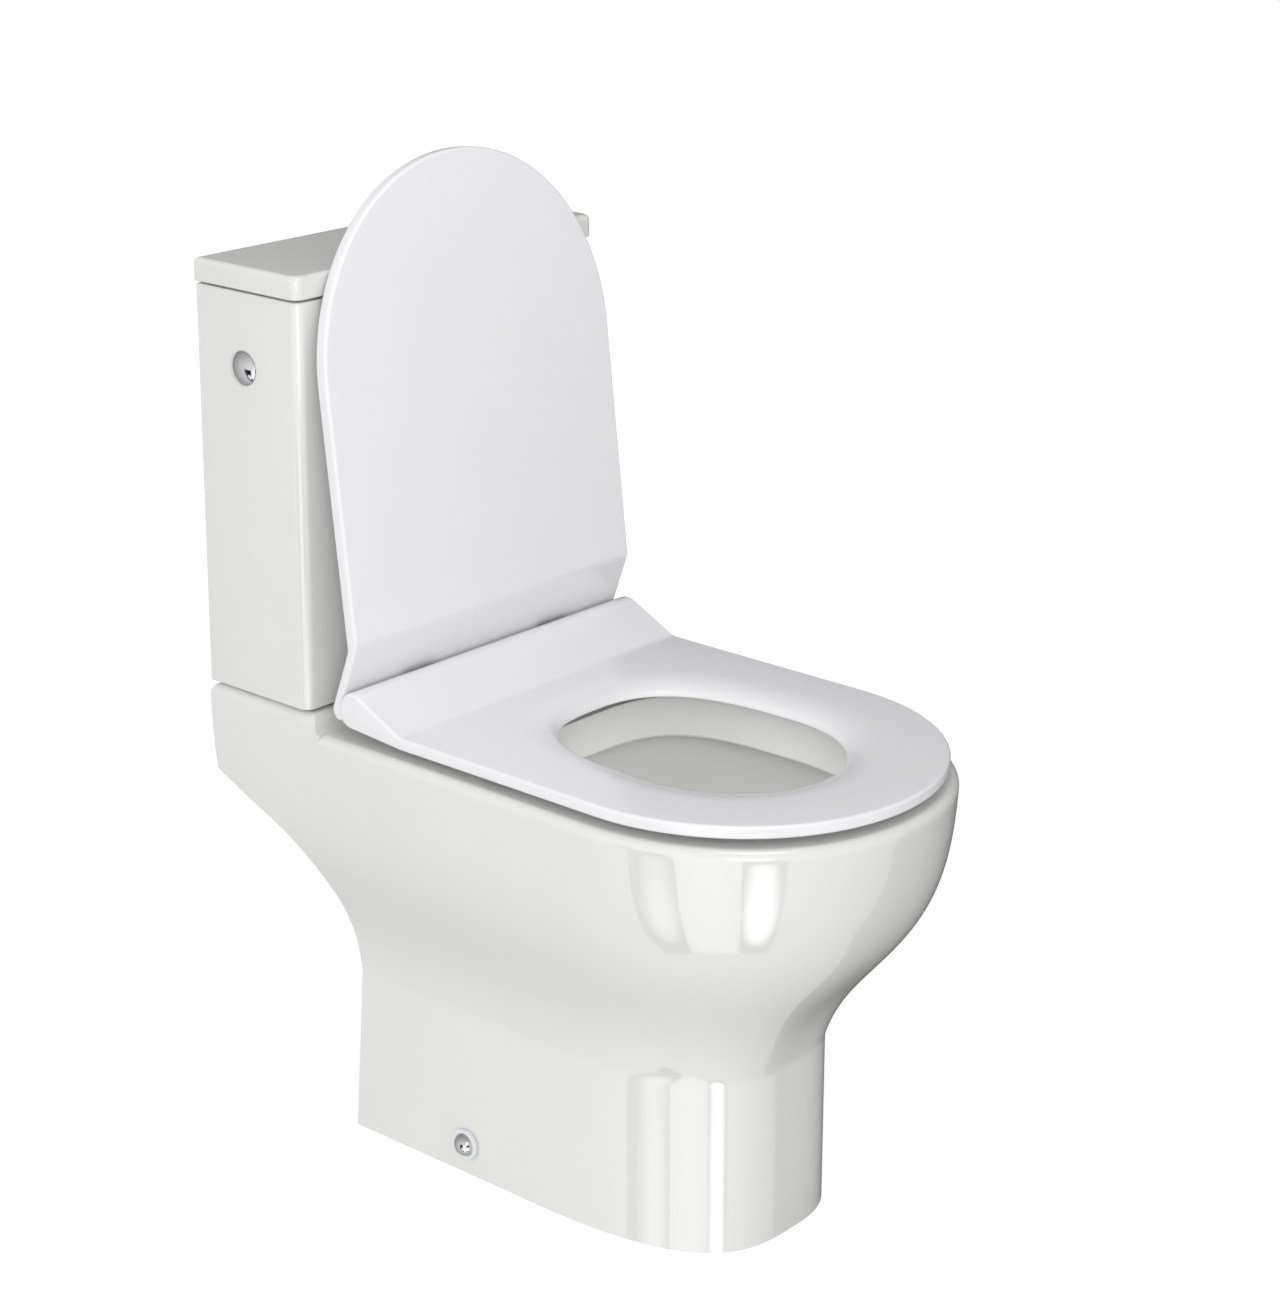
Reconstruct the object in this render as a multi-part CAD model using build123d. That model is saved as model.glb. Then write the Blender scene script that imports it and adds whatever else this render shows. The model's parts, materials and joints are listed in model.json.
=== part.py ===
from build123d import *
from math import asin, copysign, cos, exp, radians, sin, tan
import os

# Close coupled toilet: a china pan on a hollow pedestal, a china cistern bolted down on the pan's
# rear shelf, a moulded seat and seat lid on one hinge line, and the valves inside the cistern.
#
# Frame: the origin is on the floor, on the centre line, midway between the two floor screws.
# +X is the right-hand side for a person facing the toilet, +Y points back to the wall, +Z is up.
# Places along Y are given as the distance out from the wall, and at() turns them into a Y.

# ---------------------------------------------------------------- driving sizes, in millimetres
fixing_out = 229.0          # floor screws, out from the wall

# pan, outside
rim_height = 400.0
shelf_rise = 15.5           # the cistern shelf stands this much above the rim
shelf_depth = 130.0
pan_length = 612.0
rim_half_width = 176.0
rim_rear_half_width = 178.8
rim_centre_out = 420.0      # where the straight sides end and the nose begins
rim_fullness = 2.12         # exponent of the nose: 2 is an ellipse, more is squarer
foot_half_width = 110.6
foot_rear_half_width = 114.8
foot_length = 497.0
foot_centre_out = 275.0
foot_fullness = 2.95
foot_rear_out = 94.0
waist_rear_out = 110.5
waist_height = 200.0
flare_start = 155.0         # the pedestal's walls stand plumb up to here
flare_steepness = 6.3
flare_middle = 0.36         # share of the flare's height at which it runs out fastest
body_stations = 13
back_edge_height = rim_height - 64      # the undercut meets the back face here
back_edge_radius = 12.0
rim_edge_radius = 8.0
shelf_edge_radius = 4.5
shelf_foot_radius = 3.5     # hollow curve from the shelf's front down to the deck
undercut_radius = 100.0
undercut_angle = 61.0       # between the pedestal's back edge and the undercut above it
behind = 25.0               # how far cutting shapes reach past the faces that they cut
dome_rings = 5

# pan, inside
china_wall = 12.0
deck_thickness = 14.0
mouth_half_width = 112.0    # clear opening inside the rim
mouth_rear_out = 269.0
mouth_front_out = 553.0
mouth_centre_out = 405.0
lip_thickness = 11.0
lip_depth = 38.0            # the rim's inner lip hangs this far below the deck top
bowl_wall = 11.0
bowl_top_half_width = 158.0
bowl_top_rear_out = 243.0
bowl_top_front_out = 594.0
bowl_stations = 7
sump_height = 100.0
sump_half_width = 42.0
sump_rear_out = 272.0
sump_front_out = 372.0
pedestal_hollow_top = 232.0

# trap and outlet
trap_bore = 70.0
trap_wall = 9.0
weir_height = 150.0         # lowest point of the passage over the weir
trap_bends = [50, 50, 60, 60]
outlet_height = 180.0
outlet_outside = 102.0
outlet_bore = 84.0
outlet_end_out = 62.0
outlet_length = 52.0

# flush water way
inlet_out = 62.0
inlet_bore = 61.0
inlet_recess = 96.0
inlet_recess_depth = 14.0
duct_half_width = 36.0
duct_height = 26.0
duct_wall = 8.0

# holes in the pan
side_fixing_height = 29.0
side_fixing_hole = 14.0
hinge_spacing = 155.0
hinge_hole = 14.0
coupling_spacing = 160.0
coupling_hole = 12.0

# cistern
cistern_gap = 2.5           # left between the shelf and the cistern by the sealing ring
cistern_height = 342.5
shelf_top = rim_height + shelf_rise
tank_bottom = shelf_top + cistern_gap
tank_top = tank_bottom + cistern_height
cistern_bottom_half_width = 177.7
cistern_top_half_width = 172.4
cistern_depth = 120.8
cistern_wall = 9.5
cistern_floor = 12.0
cistern_corner_radius = 9.0
cistern_back_trim = 0.5      # ground off its back so that it stands flat to the wall
lid_gap = 3.0
lid_height = 18.6
lid_half_width = 174.3
lid_depth = 122.5
lid_skin = 8.0
lid_edge_radius = 4.5

lid_border = 14.0
lid_frame_clearance = 2.0
lid_frame_wall = 5.0
lid_frame_drop = 9.0
lid_pad_spread = 120.0
lid_pad_length = 24.0
side_inlet_out = 55.3
side_inlet_height = tank_top - 62.5
side_inlet_hole = 22.0
side_seat_radius = 16.0
seat_grinding = 0.2
wall_screw_spacing = 220.0
wall_screw_height = tank_top - 55.5
wall_screw_bore = 8.0

# flush buttons
button_hole = 44.0
button_radius = 19.5
button_clearance = 0.3
button_thickness = 14.0
button_proud = 1.5
button_crown = 2.1
button_split_x = -5.0
button_split_gap = 0.8
button_barrel_radius = 21.5
button_barrel_length = 26.0
button_nut_radius = 27.0
button_nut_height = 7.0
bezel_radius = 29.0
bezel_height = 4.0
rod_radius = 3.0
full_rod_x = 8.0
half_rod_x = -12.0
rod_foot_height = tank_top - 58.5

# flush valve
tank_valve_hole = 61.0
valve_tail_radius = 29.5
valve_bore = 24.0
valve_tail_drop = 28.0
valve_flange_radius = 38.0
valve_flange_thickness = 6.0
valve_washer_thickness = 3.0
valve_seat_height = 3.0
valve_nut_across_flats = 76.0
valve_nut_height = 10.0
cage_radius = 35.0
cage_wall = 3.0
cage_height = 160.0
cage_window_width = 26.0
cage_window_height = 50.0
bridge_height = tank_top - 68.5
overflow_radius = 17.0
overflow_height = tank_top - 100.5
seal_radius = 28.0
seal_thickness = 3.0

# cistern fixings
coupling_bolt_radius = 4.0
rubber_washer_thickness = 4.0
metal_washer_thickness = 2.0
wing_nut_height = 9.0

# fill valve
inlet_tail_radius = 10.45   # half-inch pipe thread
inlet_tail_length = 30.0
inlet_shank_radius = 10.2   # the same thread inside the nut and the cistern's side
inlet_nut_length = 8.0
inlet_tail_bore = 6.5
inlet_nut_across_flats = 27.0
side_washer_thickness = 3.0
fill_head_x = 138.0
fill_head_radius = 13.0
fill_head_rise = 11.0
fill_pipe_radius = 8.0
fill_pipe_foot = tank_bottom + 52
lever_pivot_x = 132.0
lever_height = side_inlet_height + 19
lever_hub_radius = 5.0
lever_half_width = 6.0
lever_pin_radius = 2.0
pin_clearance = 0.05
float_x = 101.0
float_radius = 24.0
float_foot = side_inlet_height - 98
float_cup_height = 62.0
float_rod_gap = 1.5
inlet_cap_radius = 14.5
inlet_cap_height = 6.0

# seat and seat lid
hinge_out = 166.8
seat_gap = 7.0              # between the rim and the seat, held open by the buffers
seat_thickness = 10.0
hinge_rise = 10.4           # of the hinge line above the seat's flat top
seat_underside = rim_height + seat_gap
seat_top = seat_underside + seat_thickness
hinge_height = seat_top + hinge_rise
seat_half_width = 169.4
seat_length = 605.5
seat_hole_half_width = 76.0
seat_hole_rear_out = 285.0
seat_hole_front_out = 510.0
seat_hole_centre_out = 400.0
seat_roll_width = 32.0      # soft roll round the hole
seat_roll_height = 10.5
seat_edge_radius = 4.5
seat_lower_edge = 1.5
barrel_radius = 14.0
barrel_half_length = 168.0
barrel_end_radius = 4.0
ramp_angle = 30.0           # from the barrel down to the seat's flat top
slot_low_x = 64.5           # slots in the barrel for the posts and the lid's lugs
slot_high_x = 100.0
slot_radius = 10.5
lid_open_angle = 95.94
closed_gap = 0.9            # between the seat and the closed lid
seat_lid_thickness = 12.1
seat_lid_half_width = 165.0
seat_lid_length = 604.0
seat_lid_edge_radius = 7.0
lid_end_radius = 5.0
seat_lid_arc = 16.7         # the lid's hollow over the barrel
lug_low_x = 90.0
lug_high_x = 99.0
lug_radius = 9.0
lug_web_low_angle = 104.0
lug_web_high_angle = 129.0
buffer_length = 30.0
buffer_width = 12.0
buffer_places = [(140.0, 300.0), (110.0, 500.0)]

# hinges
post_half_width = 12.0
post_half_depth = 9.0
post_foot_radius = 19.0
post_foot_thickness = 5.0
hinge_pin_radius = 4.0
hinge_pin_low_x = 52.3
hinge_pin_high_x = 112.0
damper_radius = 8.0
damper_low_x = 18.0
hinge_bolt_radius = 4.0
hinge_bolt_rise = 15.0      # how far the bolt runs up into the post

# floor fixings
bracket_length = 50.0
bracket_height = 46.0
bracket_thickness = 5.0
bracket_foot = 44.0
bracket_gap = 1.0
floor_screw_hole = 7.0
side_screw_radius = 3.0
side_screw_head_radius = 6.0
collar_radius = 14.0
collar_thickness = 3.0
fixing_cap_radius = 10.5
fixing_cap_height = 7.5


# ---------------------------------------------------------------- places and simple solids
def at(out):
    """Y of a place that is this far out from the wall."""
    return fixing_out - out


def block(x_range, out_range, z_range):
    """A box from its lowest and highest X, distance from the wall, and Z."""
    size = [x_range[1] - x_range[0], out_range[1] - out_range[0], z_range[1] - z_range[0]]
    middle = (sum(x_range) / 2, at(sum(out_range) / 2), sum(z_range) / 2)
    return Pos(*middle) * Box(*size)


def upright(radius, x, out, z_range):
    """A cylinder that stands on end."""
    height = z_range[1] - z_range[0]
    return Pos(x, at(out), sum(z_range) / 2) * Cylinder(radius, height)


def crosswise(radius, x_range, out, z):
    """A cylinder that lies along X."""
    length = x_range[1] - x_range[0]
    return Pos(sum(x_range) / 2, at(out), z) * Rot(0, 90, 0) * Cylinder(radius, length)


def dome(radius, height):
    """A shallow domed disc that stands on its flat side, drawn as a few cone rings."""
    ball = (radius ** 2 + height ** 2) / (2 * height)
    edge_angle = asin(radius / ball)
    outline = [(0, 0, 0)]
    for step in range(dome_rings + 1):
        angle = edge_angle * (1 - step / dome_rings)
        outline.append((ball * sin(angle), 0, height - ball + ball * cos(angle)))
    return revolve(Face(Wire(Polyline(outline, close=True).edges())), Axis.Z)


def curve_point(half_width, centre_out, reach, fullness, angle):
    """A point of the rounded end of a plan, 0 degrees at the right side and 90 at the tip."""
    c, s = cos(radians(angle)), sin(radians(angle))
    x = half_width * copysign(abs(c) ** (2 / fullness), c)
    return x, at(centre_out + reach * abs(s) ** (2 / fullness))


def end_curves(half_width, centre_out, tip_out, fullness, side_slope, z):
    """The rounded end of a plan: one curve from its right side to the tip, one from its left."""
    reach = tip_out - centre_out
    points = [curve_point(half_width, centre_out, reach, fullness, angle) for angle in range(0, 91, 15)]
    ahead = copysign(1, -reach)
    curves = []
    for side in (1, -1):
        tangents = [(-side * side_slope, ahead, 0), (-side, 0, 0)]
        curves.append(Spline([(side * x, y, z) for x, y in points], tangents=tangents))
    return curves


def pan_plan(half_width, rear_half_width, centre_out, tip_out, fullness, z, rear_out):
    """A plan with a straight back, nearly straight sides and a rounded nose."""
    slope = (rear_half_width - half_width) / centre_out
    back_half_width = half_width + slope * (centre_out - rear_out)
    back = Line((-back_half_width, at(rear_out), z), (back_half_width, at(rear_out), z))
    right_side = Line(back @ 1, (half_width, at(centre_out), z))
    left_side = Line((-half_width, at(centre_out), z), back @ 0)
    right_nose, left_nose = end_curves(half_width, centre_out, tip_out, fullness, slope, z)
    return Wire([back, right_side, right_nose, left_nose, left_side])


def egg_plan(half_width, rear_out, centre_out, front_out, fullness, z, rear_fullness=2.6):
    """A closed plan rounded at both ends."""
    front = end_curves(half_width, centre_out, front_out, fullness, 0, z)
    rear = end_curves(half_width, centre_out, rear_out, rear_fullness, 0, z)
    return Wire(front + rear)


def loft_through(wires, ruled=False):
    return Solid.make_loft(wires, ruled)


def side_prism(points, radii, half_width):
    """A prism across the toilet from a side outline of (distance out, height) corners."""
    corners = [(0, at(out), z) for out, z in points]
    outline = FilletPolyline(corners, radius=radii, close=True)
    return extrude(make_face(outline), half_width, dir=(1, 0, 0), both=True)


# ---------------------------------------------------------------- pan
def s_curve(share):
    return 1 / (1 + exp(-flare_steepness * (share - flare_middle)))


def flare(height):
    """How far the pan's outside has spread from the foot's plan, 0, to the rim's plan, 1."""
    top = rim_height - rim_edge_radius
    share = max(0, (height - flare_start) / (top - flare_start))
    return (s_curve(share) - s_curve(0)) / (s_curve(1) - s_curve(0))


def blend(low, high, share):
    return low + (high - low) * share


def pan_section(height, inset=0.0):
    """The pan's outside plan at one height, drawn in by inset."""
    spread = flare(min(height, rim_height - rim_edge_radius))
    return pan_plan(
        blend(foot_half_width, rim_half_width, spread) - inset,
        blend(foot_rear_half_width, rim_rear_half_width, spread) - inset,
        blend(foot_centre_out, rim_centre_out, spread),
        blend(foot_length, pan_length, spread) - inset,
        blend(foot_fullness, rim_fullness, spread),
        height,
        -behind,
    )


def pan_form(top, inset=0.0, ruled=False):
    """The pan's outside form from the floor up to one height, drawn in by inset."""
    heights = [top * step / (body_stations - 1) for step in range(body_stations)]
    return loft_through([pan_section(height, inset) for height in heights], ruled)


def undercut():
    """What is missing below the shelf and behind the pedestal, seen from the side."""
    corner_height = back_edge_height - waist_rear_out / tan(radians(undercut_angle))
    points = [
        (foot_rear_out, -behind),
        (foot_rear_out, 0),
        (waist_rear_out, waist_height),
        (waist_rear_out, corner_height),
        (0, back_edge_height),
        (0, rim_height + 3 * behind),
        (-3 * behind, rim_height + 3 * behind),
        (-3 * behind, -behind),
    ]
    radii = [0, 0, 0, undercut_radius, back_edge_radius, 0, 0, 0]
    return side_prism(points, radii, 2 * rim_half_width)


def rounding(width, height=None):
    """Steps of a rounded edge from its side to its top: how far in and how far up each one is."""
    height = height or width
    angles = [0, 22.5, 45, 67.5, 90]
    return [(width * (1 - cos(radians(a))), height * sin(radians(a))) for a in angles]


def rim_cap():
    """The top of the rim, with its rounded outer edge."""
    base = rim_height - rim_edge_radius
    return loft_through([pan_section(base + up, inset) for inset, up in rounding(rim_edge_radius)], True)


def shelf_plan(inset, z, flow=0.0):
    """One line round the shelf; flow is how far its front runs out into the deck."""
    slope = (rim_rear_half_width - rim_half_width) / rim_centre_out
    front_out = shelf_depth - inset + flow
    rear, front = rim_rear_half_width - inset, rim_rear_half_width - slope * front_out - inset
    corners = [(-rear, inset), (rear, inset), (front, front_out), (-front, front_out)]
    return Wire(Polyline([(x, at(out), z) for x, out in corners], close=True).edges())


def shelf():
    """The flat shelf that carries the cistern."""
    top = shelf_top - shelf_edge_radius
    wires = [shelf_plan(0, rim_height - rim_edge_radius, shelf_foot_radius)]
    wires += [shelf_plan(0, rim_height + inset, shelf_foot_radius - up) for inset, up in rounding(shelf_foot_radius)]
    wires += [shelf_plan(inset, top + up) for inset, up in rounding(shelf_edge_radius)]
    return loft_through(wires, True)


def pan_outside():
    """The bowl and pedestal up to the rim, with the cistern shelf standing on its rear end."""
    body = pan_form(rim_height - rim_edge_radius)
    return (body - undercut()) + (rim_cap() - undercut()) + (shelf() - undercut())


def bowl(grow):
    """The bowl's inner form from the deck's underside to the sump, enlarged all round by grow."""
    top = rim_height - deck_thickness
    wires = []
    for rise in [step / (bowl_stations - 1) for step in range(bowl_stations)]:
        spread = sin(radians(90 * rise))
        wires.append(egg_plan(
            blend(sump_half_width, bowl_top_half_width, spread) + grow,
            blend(sump_rear_out, bowl_top_rear_out, spread) - grow,
            blend(sump_rear_out + sump_half_width, rim_centre_out, spread),
            blend(sump_front_out, bowl_top_front_out, spread) + grow,
            rim_fullness,
            blend(sump_height - grow, top, rise),
        ))
    return loft_through(wires)


def mouth(half_width, low, high):
    """The opening inside the rim, drawn with another half width, from one height to another."""
    grow = half_width - mouth_half_width
    plan = egg_plan(half_width, mouth_rear_out - grow, mouth_centre_out, mouth_front_out + grow,
                    rim_fullness, low, rear_fullness=3.4)
    return extrude(Face(plan), high - low, dir=(0, 0, 1))


def trap_path():
    """Centre line of the trap: down from the sump, up over the weir and back to the outlet."""
    radius = trap_bore / 2
    crest = weir_height + radius
    low = sump_height + radius * 0.6
    sump_out = sump_rear_out + sump_half_width
    points = [
        (sump_out + 10, low),
        (sump_out - 52, low),
        (sump_rear_out - 62, crest + 8),
        (sump_rear_out - 104, crest + 8),
        (outlet_end_out + outlet_length + 8, outlet_height),
        (outlet_end_out + outlet_length - 25, outlet_height),
    ]
    return FilletPolyline([(0, at(out), z) for out, z in points], radius=trap_bends)


def along_trap(radius):
    path = trap_path()
    ring = Plane(origin=path @ 0, z_dir=path % 0) * Circle(radius)
    return sweep(ring, path=path)


def both_sides(shape):
    """A shape and its mirror image across the centre line."""
    return [shape, mirror(shape, about=Plane.YZ)]


def hollow_under():
    """The open space inside the pedestal and behind the bowl, open to the floor and the wall."""
    space = pan_form(rim_height - deck_thickness, china_wall, True)
    under_bowl = block((-rim_half_width, rim_half_width), (bowl_top_rear_out, pan_length),
                       (pedestal_hollow_top, rim_height))
    below = extrude(Face(pan_section(0, china_wall)), behind, dir=(0, 0, -1))
    return space - under_bowl + below


def flush_duct(grow):
    """The water way under the shelf and deck, from the inlet to the space behind the rim's lip."""
    top = rim_height - deck_thickness
    half_width = duct_half_width + grow
    start = inlet_out - inlet_bore / 2 - grow
    return block((-half_width, half_width), (start, bowl_top_rear_out + grow),
                 (top - duct_height - grow, top + grow))


def outlet(radius, length):
    """A cylinder that starts at the outlet's open end and runs forward."""
    middle = outlet_end_out + length / 2
    return Pos(0, at(middle), outlet_height) * Rot(90, 0, 0) * Cylinder(radius, length)


def pan_holes():
    through = (rim_height - 2 * deck_thickness, shelf_top + 1)
    side_hole = crosswise(side_fixing_hole / 2, (foot_half_width - 3 * china_wall, foot_half_width + behind),
                          fixing_out, side_fixing_height)
    holes = [upright(inlet_bore / 2, 0, inlet_out, through)]
    holes.append(upright(inlet_recess / 2, 0, inlet_out, (shelf_top - inlet_recess_depth, shelf_top + 1)))
    holes += both_sides(upright(hinge_hole / 2, hinge_spacing / 2, hinge_out, through))
    holes += both_sides(upright(coupling_hole / 2, coupling_spacing / 2, inlet_out, through))
    holes += both_sides(side_hole)
    return holes


def pan():
    deck_underside = rim_height - deck_thickness
    solid_parts = [bowl(bowl_wall), along_trap(trap_bore / 2 + trap_wall), flush_duct(duct_wall)]
    solid_parts.append(outlet(outlet_outside / 2, outlet_length))
    hollow = hollow_under()
    for solid_part in solid_parts:
        hollow = hollow - solid_part
    body = pan_outside() - hollow
    body = body - bowl(0) - mouth(mouth_half_width, deck_underside - 1, rim_height + 1)
    lip = mouth(mouth_half_width + lip_thickness, rim_height - lip_depth, rim_height - 2)
    lip = lip - mouth(mouth_half_width, rim_height - lip_depth - 1, rim_height)
    body = body + lip + outlet(outlet_outside / 2, outlet_length)
    body = body - along_trap(trap_bore / 2) - flush_duct(0)
    body = body - outlet(outlet_bore / 2, outlet_length - trap_wall)
    for hole in pan_holes():
        body = body - hole
    return body


# ---------------------------------------------------------------- cistern
tank_floor_top = tank_bottom + cistern_floor
lid_bottom = tank_top + lid_gap
lid_top = lid_bottom + lid_height
lid_skin_bottom = lid_top - lid_skin


def tank_half_width(height):
    share = (height - tank_bottom) / cistern_height
    return blend(cistern_bottom_half_width, cistern_top_half_width, share)


def rounded_plan(half_width, back, front, radius, z):
    """A rounded rectangle between two distances from the wall."""
    middle = Pos(0, at((back + front) / 2), z)
    return middle * RectangleRounded(2 * half_width, front - back, radius)


def tank_form(inset, low, high):
    """The cistern's tapered form, drawn in by inset, between two heights."""
    radius = max(cistern_corner_radius - inset, 3)
    plans = []
    for z in (low, high):
        plans.append(rounded_plan(tank_half_width(z) - inset, inset - cistern_back_trim, cistern_depth - inset, radius, z))
    reach = 2 * cistern_bottom_half_width
    wall_side = block((-reach, reach), (inset, 2 * cistern_depth), (low, high))
    return loft(plans) & wall_side


def cistern_tank():
    body = tank_form(0, tank_bottom, tank_top) - tank_form(cistern_wall, tank_floor_top, tank_top + 1)
    floor_span = (tank_bottom - 1, tank_floor_top + 1)
    body = body - upright(tank_valve_hole / 2, 0, inlet_out, floor_span)
    for hole in both_sides(upright(coupling_hole / 2, coupling_spacing / 2, inlet_out, floor_span)):
        body = body - hole
    side = tank_half_width(side_inlet_height)
    span = (side - 3 * cistern_wall, side + behind)
    outer_seat = crosswise(side_seat_radius, (outer_seat_x(), span[1]), side_inlet_out, side_inlet_height)
    inner_seat = crosswise(side_seat_radius, (span[0], inner_seat_x()), side_inlet_out, side_inlet_height)
    for cut in (crosswise(side_inlet_hole / 2, span, side_inlet_out, side_inlet_height), outer_seat, inner_seat):
        for one in both_sides(cut):
            body = body - one
    for hole in both_sides(wall_screw_hole()):
        body = body - hole
    return body


def wall_screw_hole():
    middle = Pos(wall_screw_spacing / 2, at(cistern_wall / 2), wall_screw_height)
    return middle * Rot(90, 0, 0) * Cylinder(wall_screw_bore / 2, 2 * cistern_wall)


def outer_seat_x():
    """Plumb seat ground into the tapered side for the inlet's nut and the cap."""
    return tank_half_width(side_inlet_height + side_seat_radius) - seat_grinding


def inner_seat_x():
    return tank_half_width(side_inlet_height - side_seat_radius) - cistern_wall + seat_grinding


def cistern_lid():
    """A tray-shaped lid with a frame below that drops inside the tank."""
    wires = []
    for inset, up in [(0, lid_edge_radius - lid_height)] + rounding(lid_edge_radius):
        plan = rounded_plan(lid_half_width - inset, inset, lid_depth - inset, cistern_corner_radius - inset * 0.9,
                            lid_top - lid_edge_radius + up)
        wires.append(plan)
    body = loft(wires, ruled=True)
    hollow = rounded_plan(lid_half_width - lid_border, lid_border, lid_depth - lid_border, 4, lid_bottom - 1)
    body = body - extrude(hollow, lid_height - lid_skin + 1)
    inset = cistern_wall + lid_frame_clearance
    half_width, radius = cistern_top_half_width - inset, 4
    outer = rounded_plan(half_width, inset, cistern_depth - inset, radius, tank_top - lid_frame_drop)
    inner = rounded_plan(half_width - lid_frame_wall, inset + lid_frame_wall,
                         cistern_depth - inset - lid_frame_wall, radius, tank_top - lid_frame_drop)
    body = body + extrude(outer - inner, lid_frame_drop + lid_gap + lid_height - lid_skin + 1)
    return body - upright(button_hole / 2, 0, inlet_out, (lid_bottom - behind, lid_top + 1))


def lid_pads():
    """Four soft pads on the tank's edge that the lid rests on."""
    pads = []
    for x in (-lid_pad_spread, lid_pad_spread):
        for out in (cistern_wall / 2, cistern_depth - cistern_wall / 2):
            half = lid_pad_length / 2
            pads.append(block((x - half, x + half), (out - 3, out + 3), (tank_top, lid_bottom)))
    return pads


# ---------------------------------------------------------------- flush buttons
def ring(outer, inner, x, out, z_range):
    return upright(outer, x, out, z_range) - upright(inner, x, out, (z_range[0] - 1, z_range[1] + 1))


def hexagon(across_flats, bore, z_range, x=0, out=0):
    plan = Pos(x, at(out), z_range[0]) * RegularPolygon(across_flats / 2, 6, major_radius=False)
    nut = extrude(plan, z_range[1] - z_range[0])
    return nut - upright(bore, x, out, (z_range[0] - 1, z_range[1] + 1))


def button_housing():
    inner = button_radius + button_clearance
    barrel = ring(button_barrel_radius, inner, 0, inlet_out, (lid_top - button_barrel_length, lid_top))
    bezel = ring(bezel_radius, inner, 0, inlet_out, (lid_top, lid_top + bezel_height))
    bezel = chamfer(bezel.edges().group_by(Axis.Z)[-1].sort_by(SortBy.RADIUS)[-1], bezel_height * 0.6)
    floor = (lid_top - button_barrel_length, lid_top - button_barrel_length + 2)
    platform = upright(inner + 0.5, 0, inlet_out, floor)
    for x in (full_rod_x, half_rod_x):
        platform = platform - upright(rod_radius + 0.4, x, inlet_out, (floor[0] - 1, floor[1] + 1))
    return barrel + bezel + platform


def button_nut():
    return ring(button_nut_radius, button_barrel_radius, 0, inlet_out, (lid_skin_bottom - button_nut_height, lid_skin_bottom))


def button(left, right):
    """One part of the split button: a domed disc cut to the strip between two X values."""
    top = lid_top + bezel_height + button_proud
    bottom = top - button_thickness
    shoulder = top - button_crown
    disc = upright(button_radius, 0, inlet_out, (bottom, shoulder))
    disc = disc + Pos(0, at(inlet_out), shoulder) * dome(button_radius, button_crown)
    reach = 2 * button_radius
    strip = block((left, right), (inlet_out - reach, inlet_out + reach), (bottom - 1, top + 1))
    return disc & strip


def button_rod(x):
    bottom = lid_top + bezel_height + button_proud - button_thickness
    return upright(rod_radius, x, inlet_out, (rod_foot_height, bottom))


# ---------------------------------------------------------------- flush valve
def flush_valve_base():
    top = tank_floor_top + valve_washer_thickness
    tail = ring(valve_tail_radius, valve_bore, 0, inlet_out, (tank_bottom - valve_tail_drop, top))
    flange = ring(valve_flange_radius, valve_bore, 0, inlet_out, (top, top + valve_flange_thickness))
    seat_top = top + valve_flange_thickness + valve_seat_height
    seat = ring(valve_bore + 3, valve_bore, 0, inlet_out, (top, seat_top))
    return tail + flange + seat


def flush_valve_washer():
    return ring(valve_flange_radius, valve_tail_radius, 0, inlet_out,
                (tank_floor_top, tank_floor_top + valve_washer_thickness))


def flush_valve_nut():
    return hexagon(valve_nut_across_flats, valve_tail_radius, (tank_bottom - valve_nut_height, tank_bottom), 0, inlet_out)


def coupling_gasket():
    """The soft ring between pan and cistern: a cup round the valve's nut."""
    low = shelf_top - inlet_recess_depth
    nut_bottom = tank_bottom - valve_nut_height
    outer = inlet_recess / 2 - 1
    foot = ring(outer, valve_tail_radius + 1.5, 0, inlet_out, (low, nut_bottom))
    wall = ring(outer, valve_nut_across_flats / 2 / cos(radians(30)) + 0.3, 0, inlet_out, (nut_bottom, tank_bottom))
    return foot + wall


def valve_seat_top():
    return tank_floor_top + valve_washer_thickness + valve_flange_thickness + valve_seat_height


def flush_valve_cage():
    """The guide that stands on the valve's base: a slotted tube, a top plate and a bridge."""
    bottom = tank_floor_top + valve_washer_thickness + valve_flange_thickness
    top = bottom + cage_height
    body = ring(cage_radius, cage_radius - cage_wall, 0, inlet_out, (bottom, top))
    half = cage_window_width / 2
    window_z = (bottom + 8, bottom + 8 + cage_window_height)
    body = body - block((-2 * cage_radius, 2 * cage_radius), (inlet_out - half, inlet_out + half), window_z)
    body = body - block((-half, half), (inlet_out - 2 * cage_radius, inlet_out + 2 * cage_radius), window_z)
    body = body + ring(cage_radius, overflow_radius + 0.4, 0, inlet_out, (top, top + 4))
    post_out = overflow_radius + 5
    post = block((post_out, post_out + 6), (inlet_out - 6, inlet_out + 6), (top + 3, bridge_height))
    bar = block((-post_out - 6, post_out + 6), (inlet_out - 6, inlet_out + 6), (bridge_height - 5, bridge_height))
    return body + both_sides(post)[0] + both_sides(post)[1] + bar


def overflow_tube():
    low = valve_seat_top() + seal_thickness
    tube = ring(overflow_radius, overflow_radius - 2.5, 0, inlet_out, (low, overflow_height))
    foot = ring(seal_radius, overflow_radius - 2.5, 0, inlet_out, (low, low + 3))
    return tube + foot


def valve_seal():
    low = valve_seat_top()
    return ring(seal_radius, valve_bore - 3, 0, inlet_out, (low, low + seal_thickness))


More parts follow.
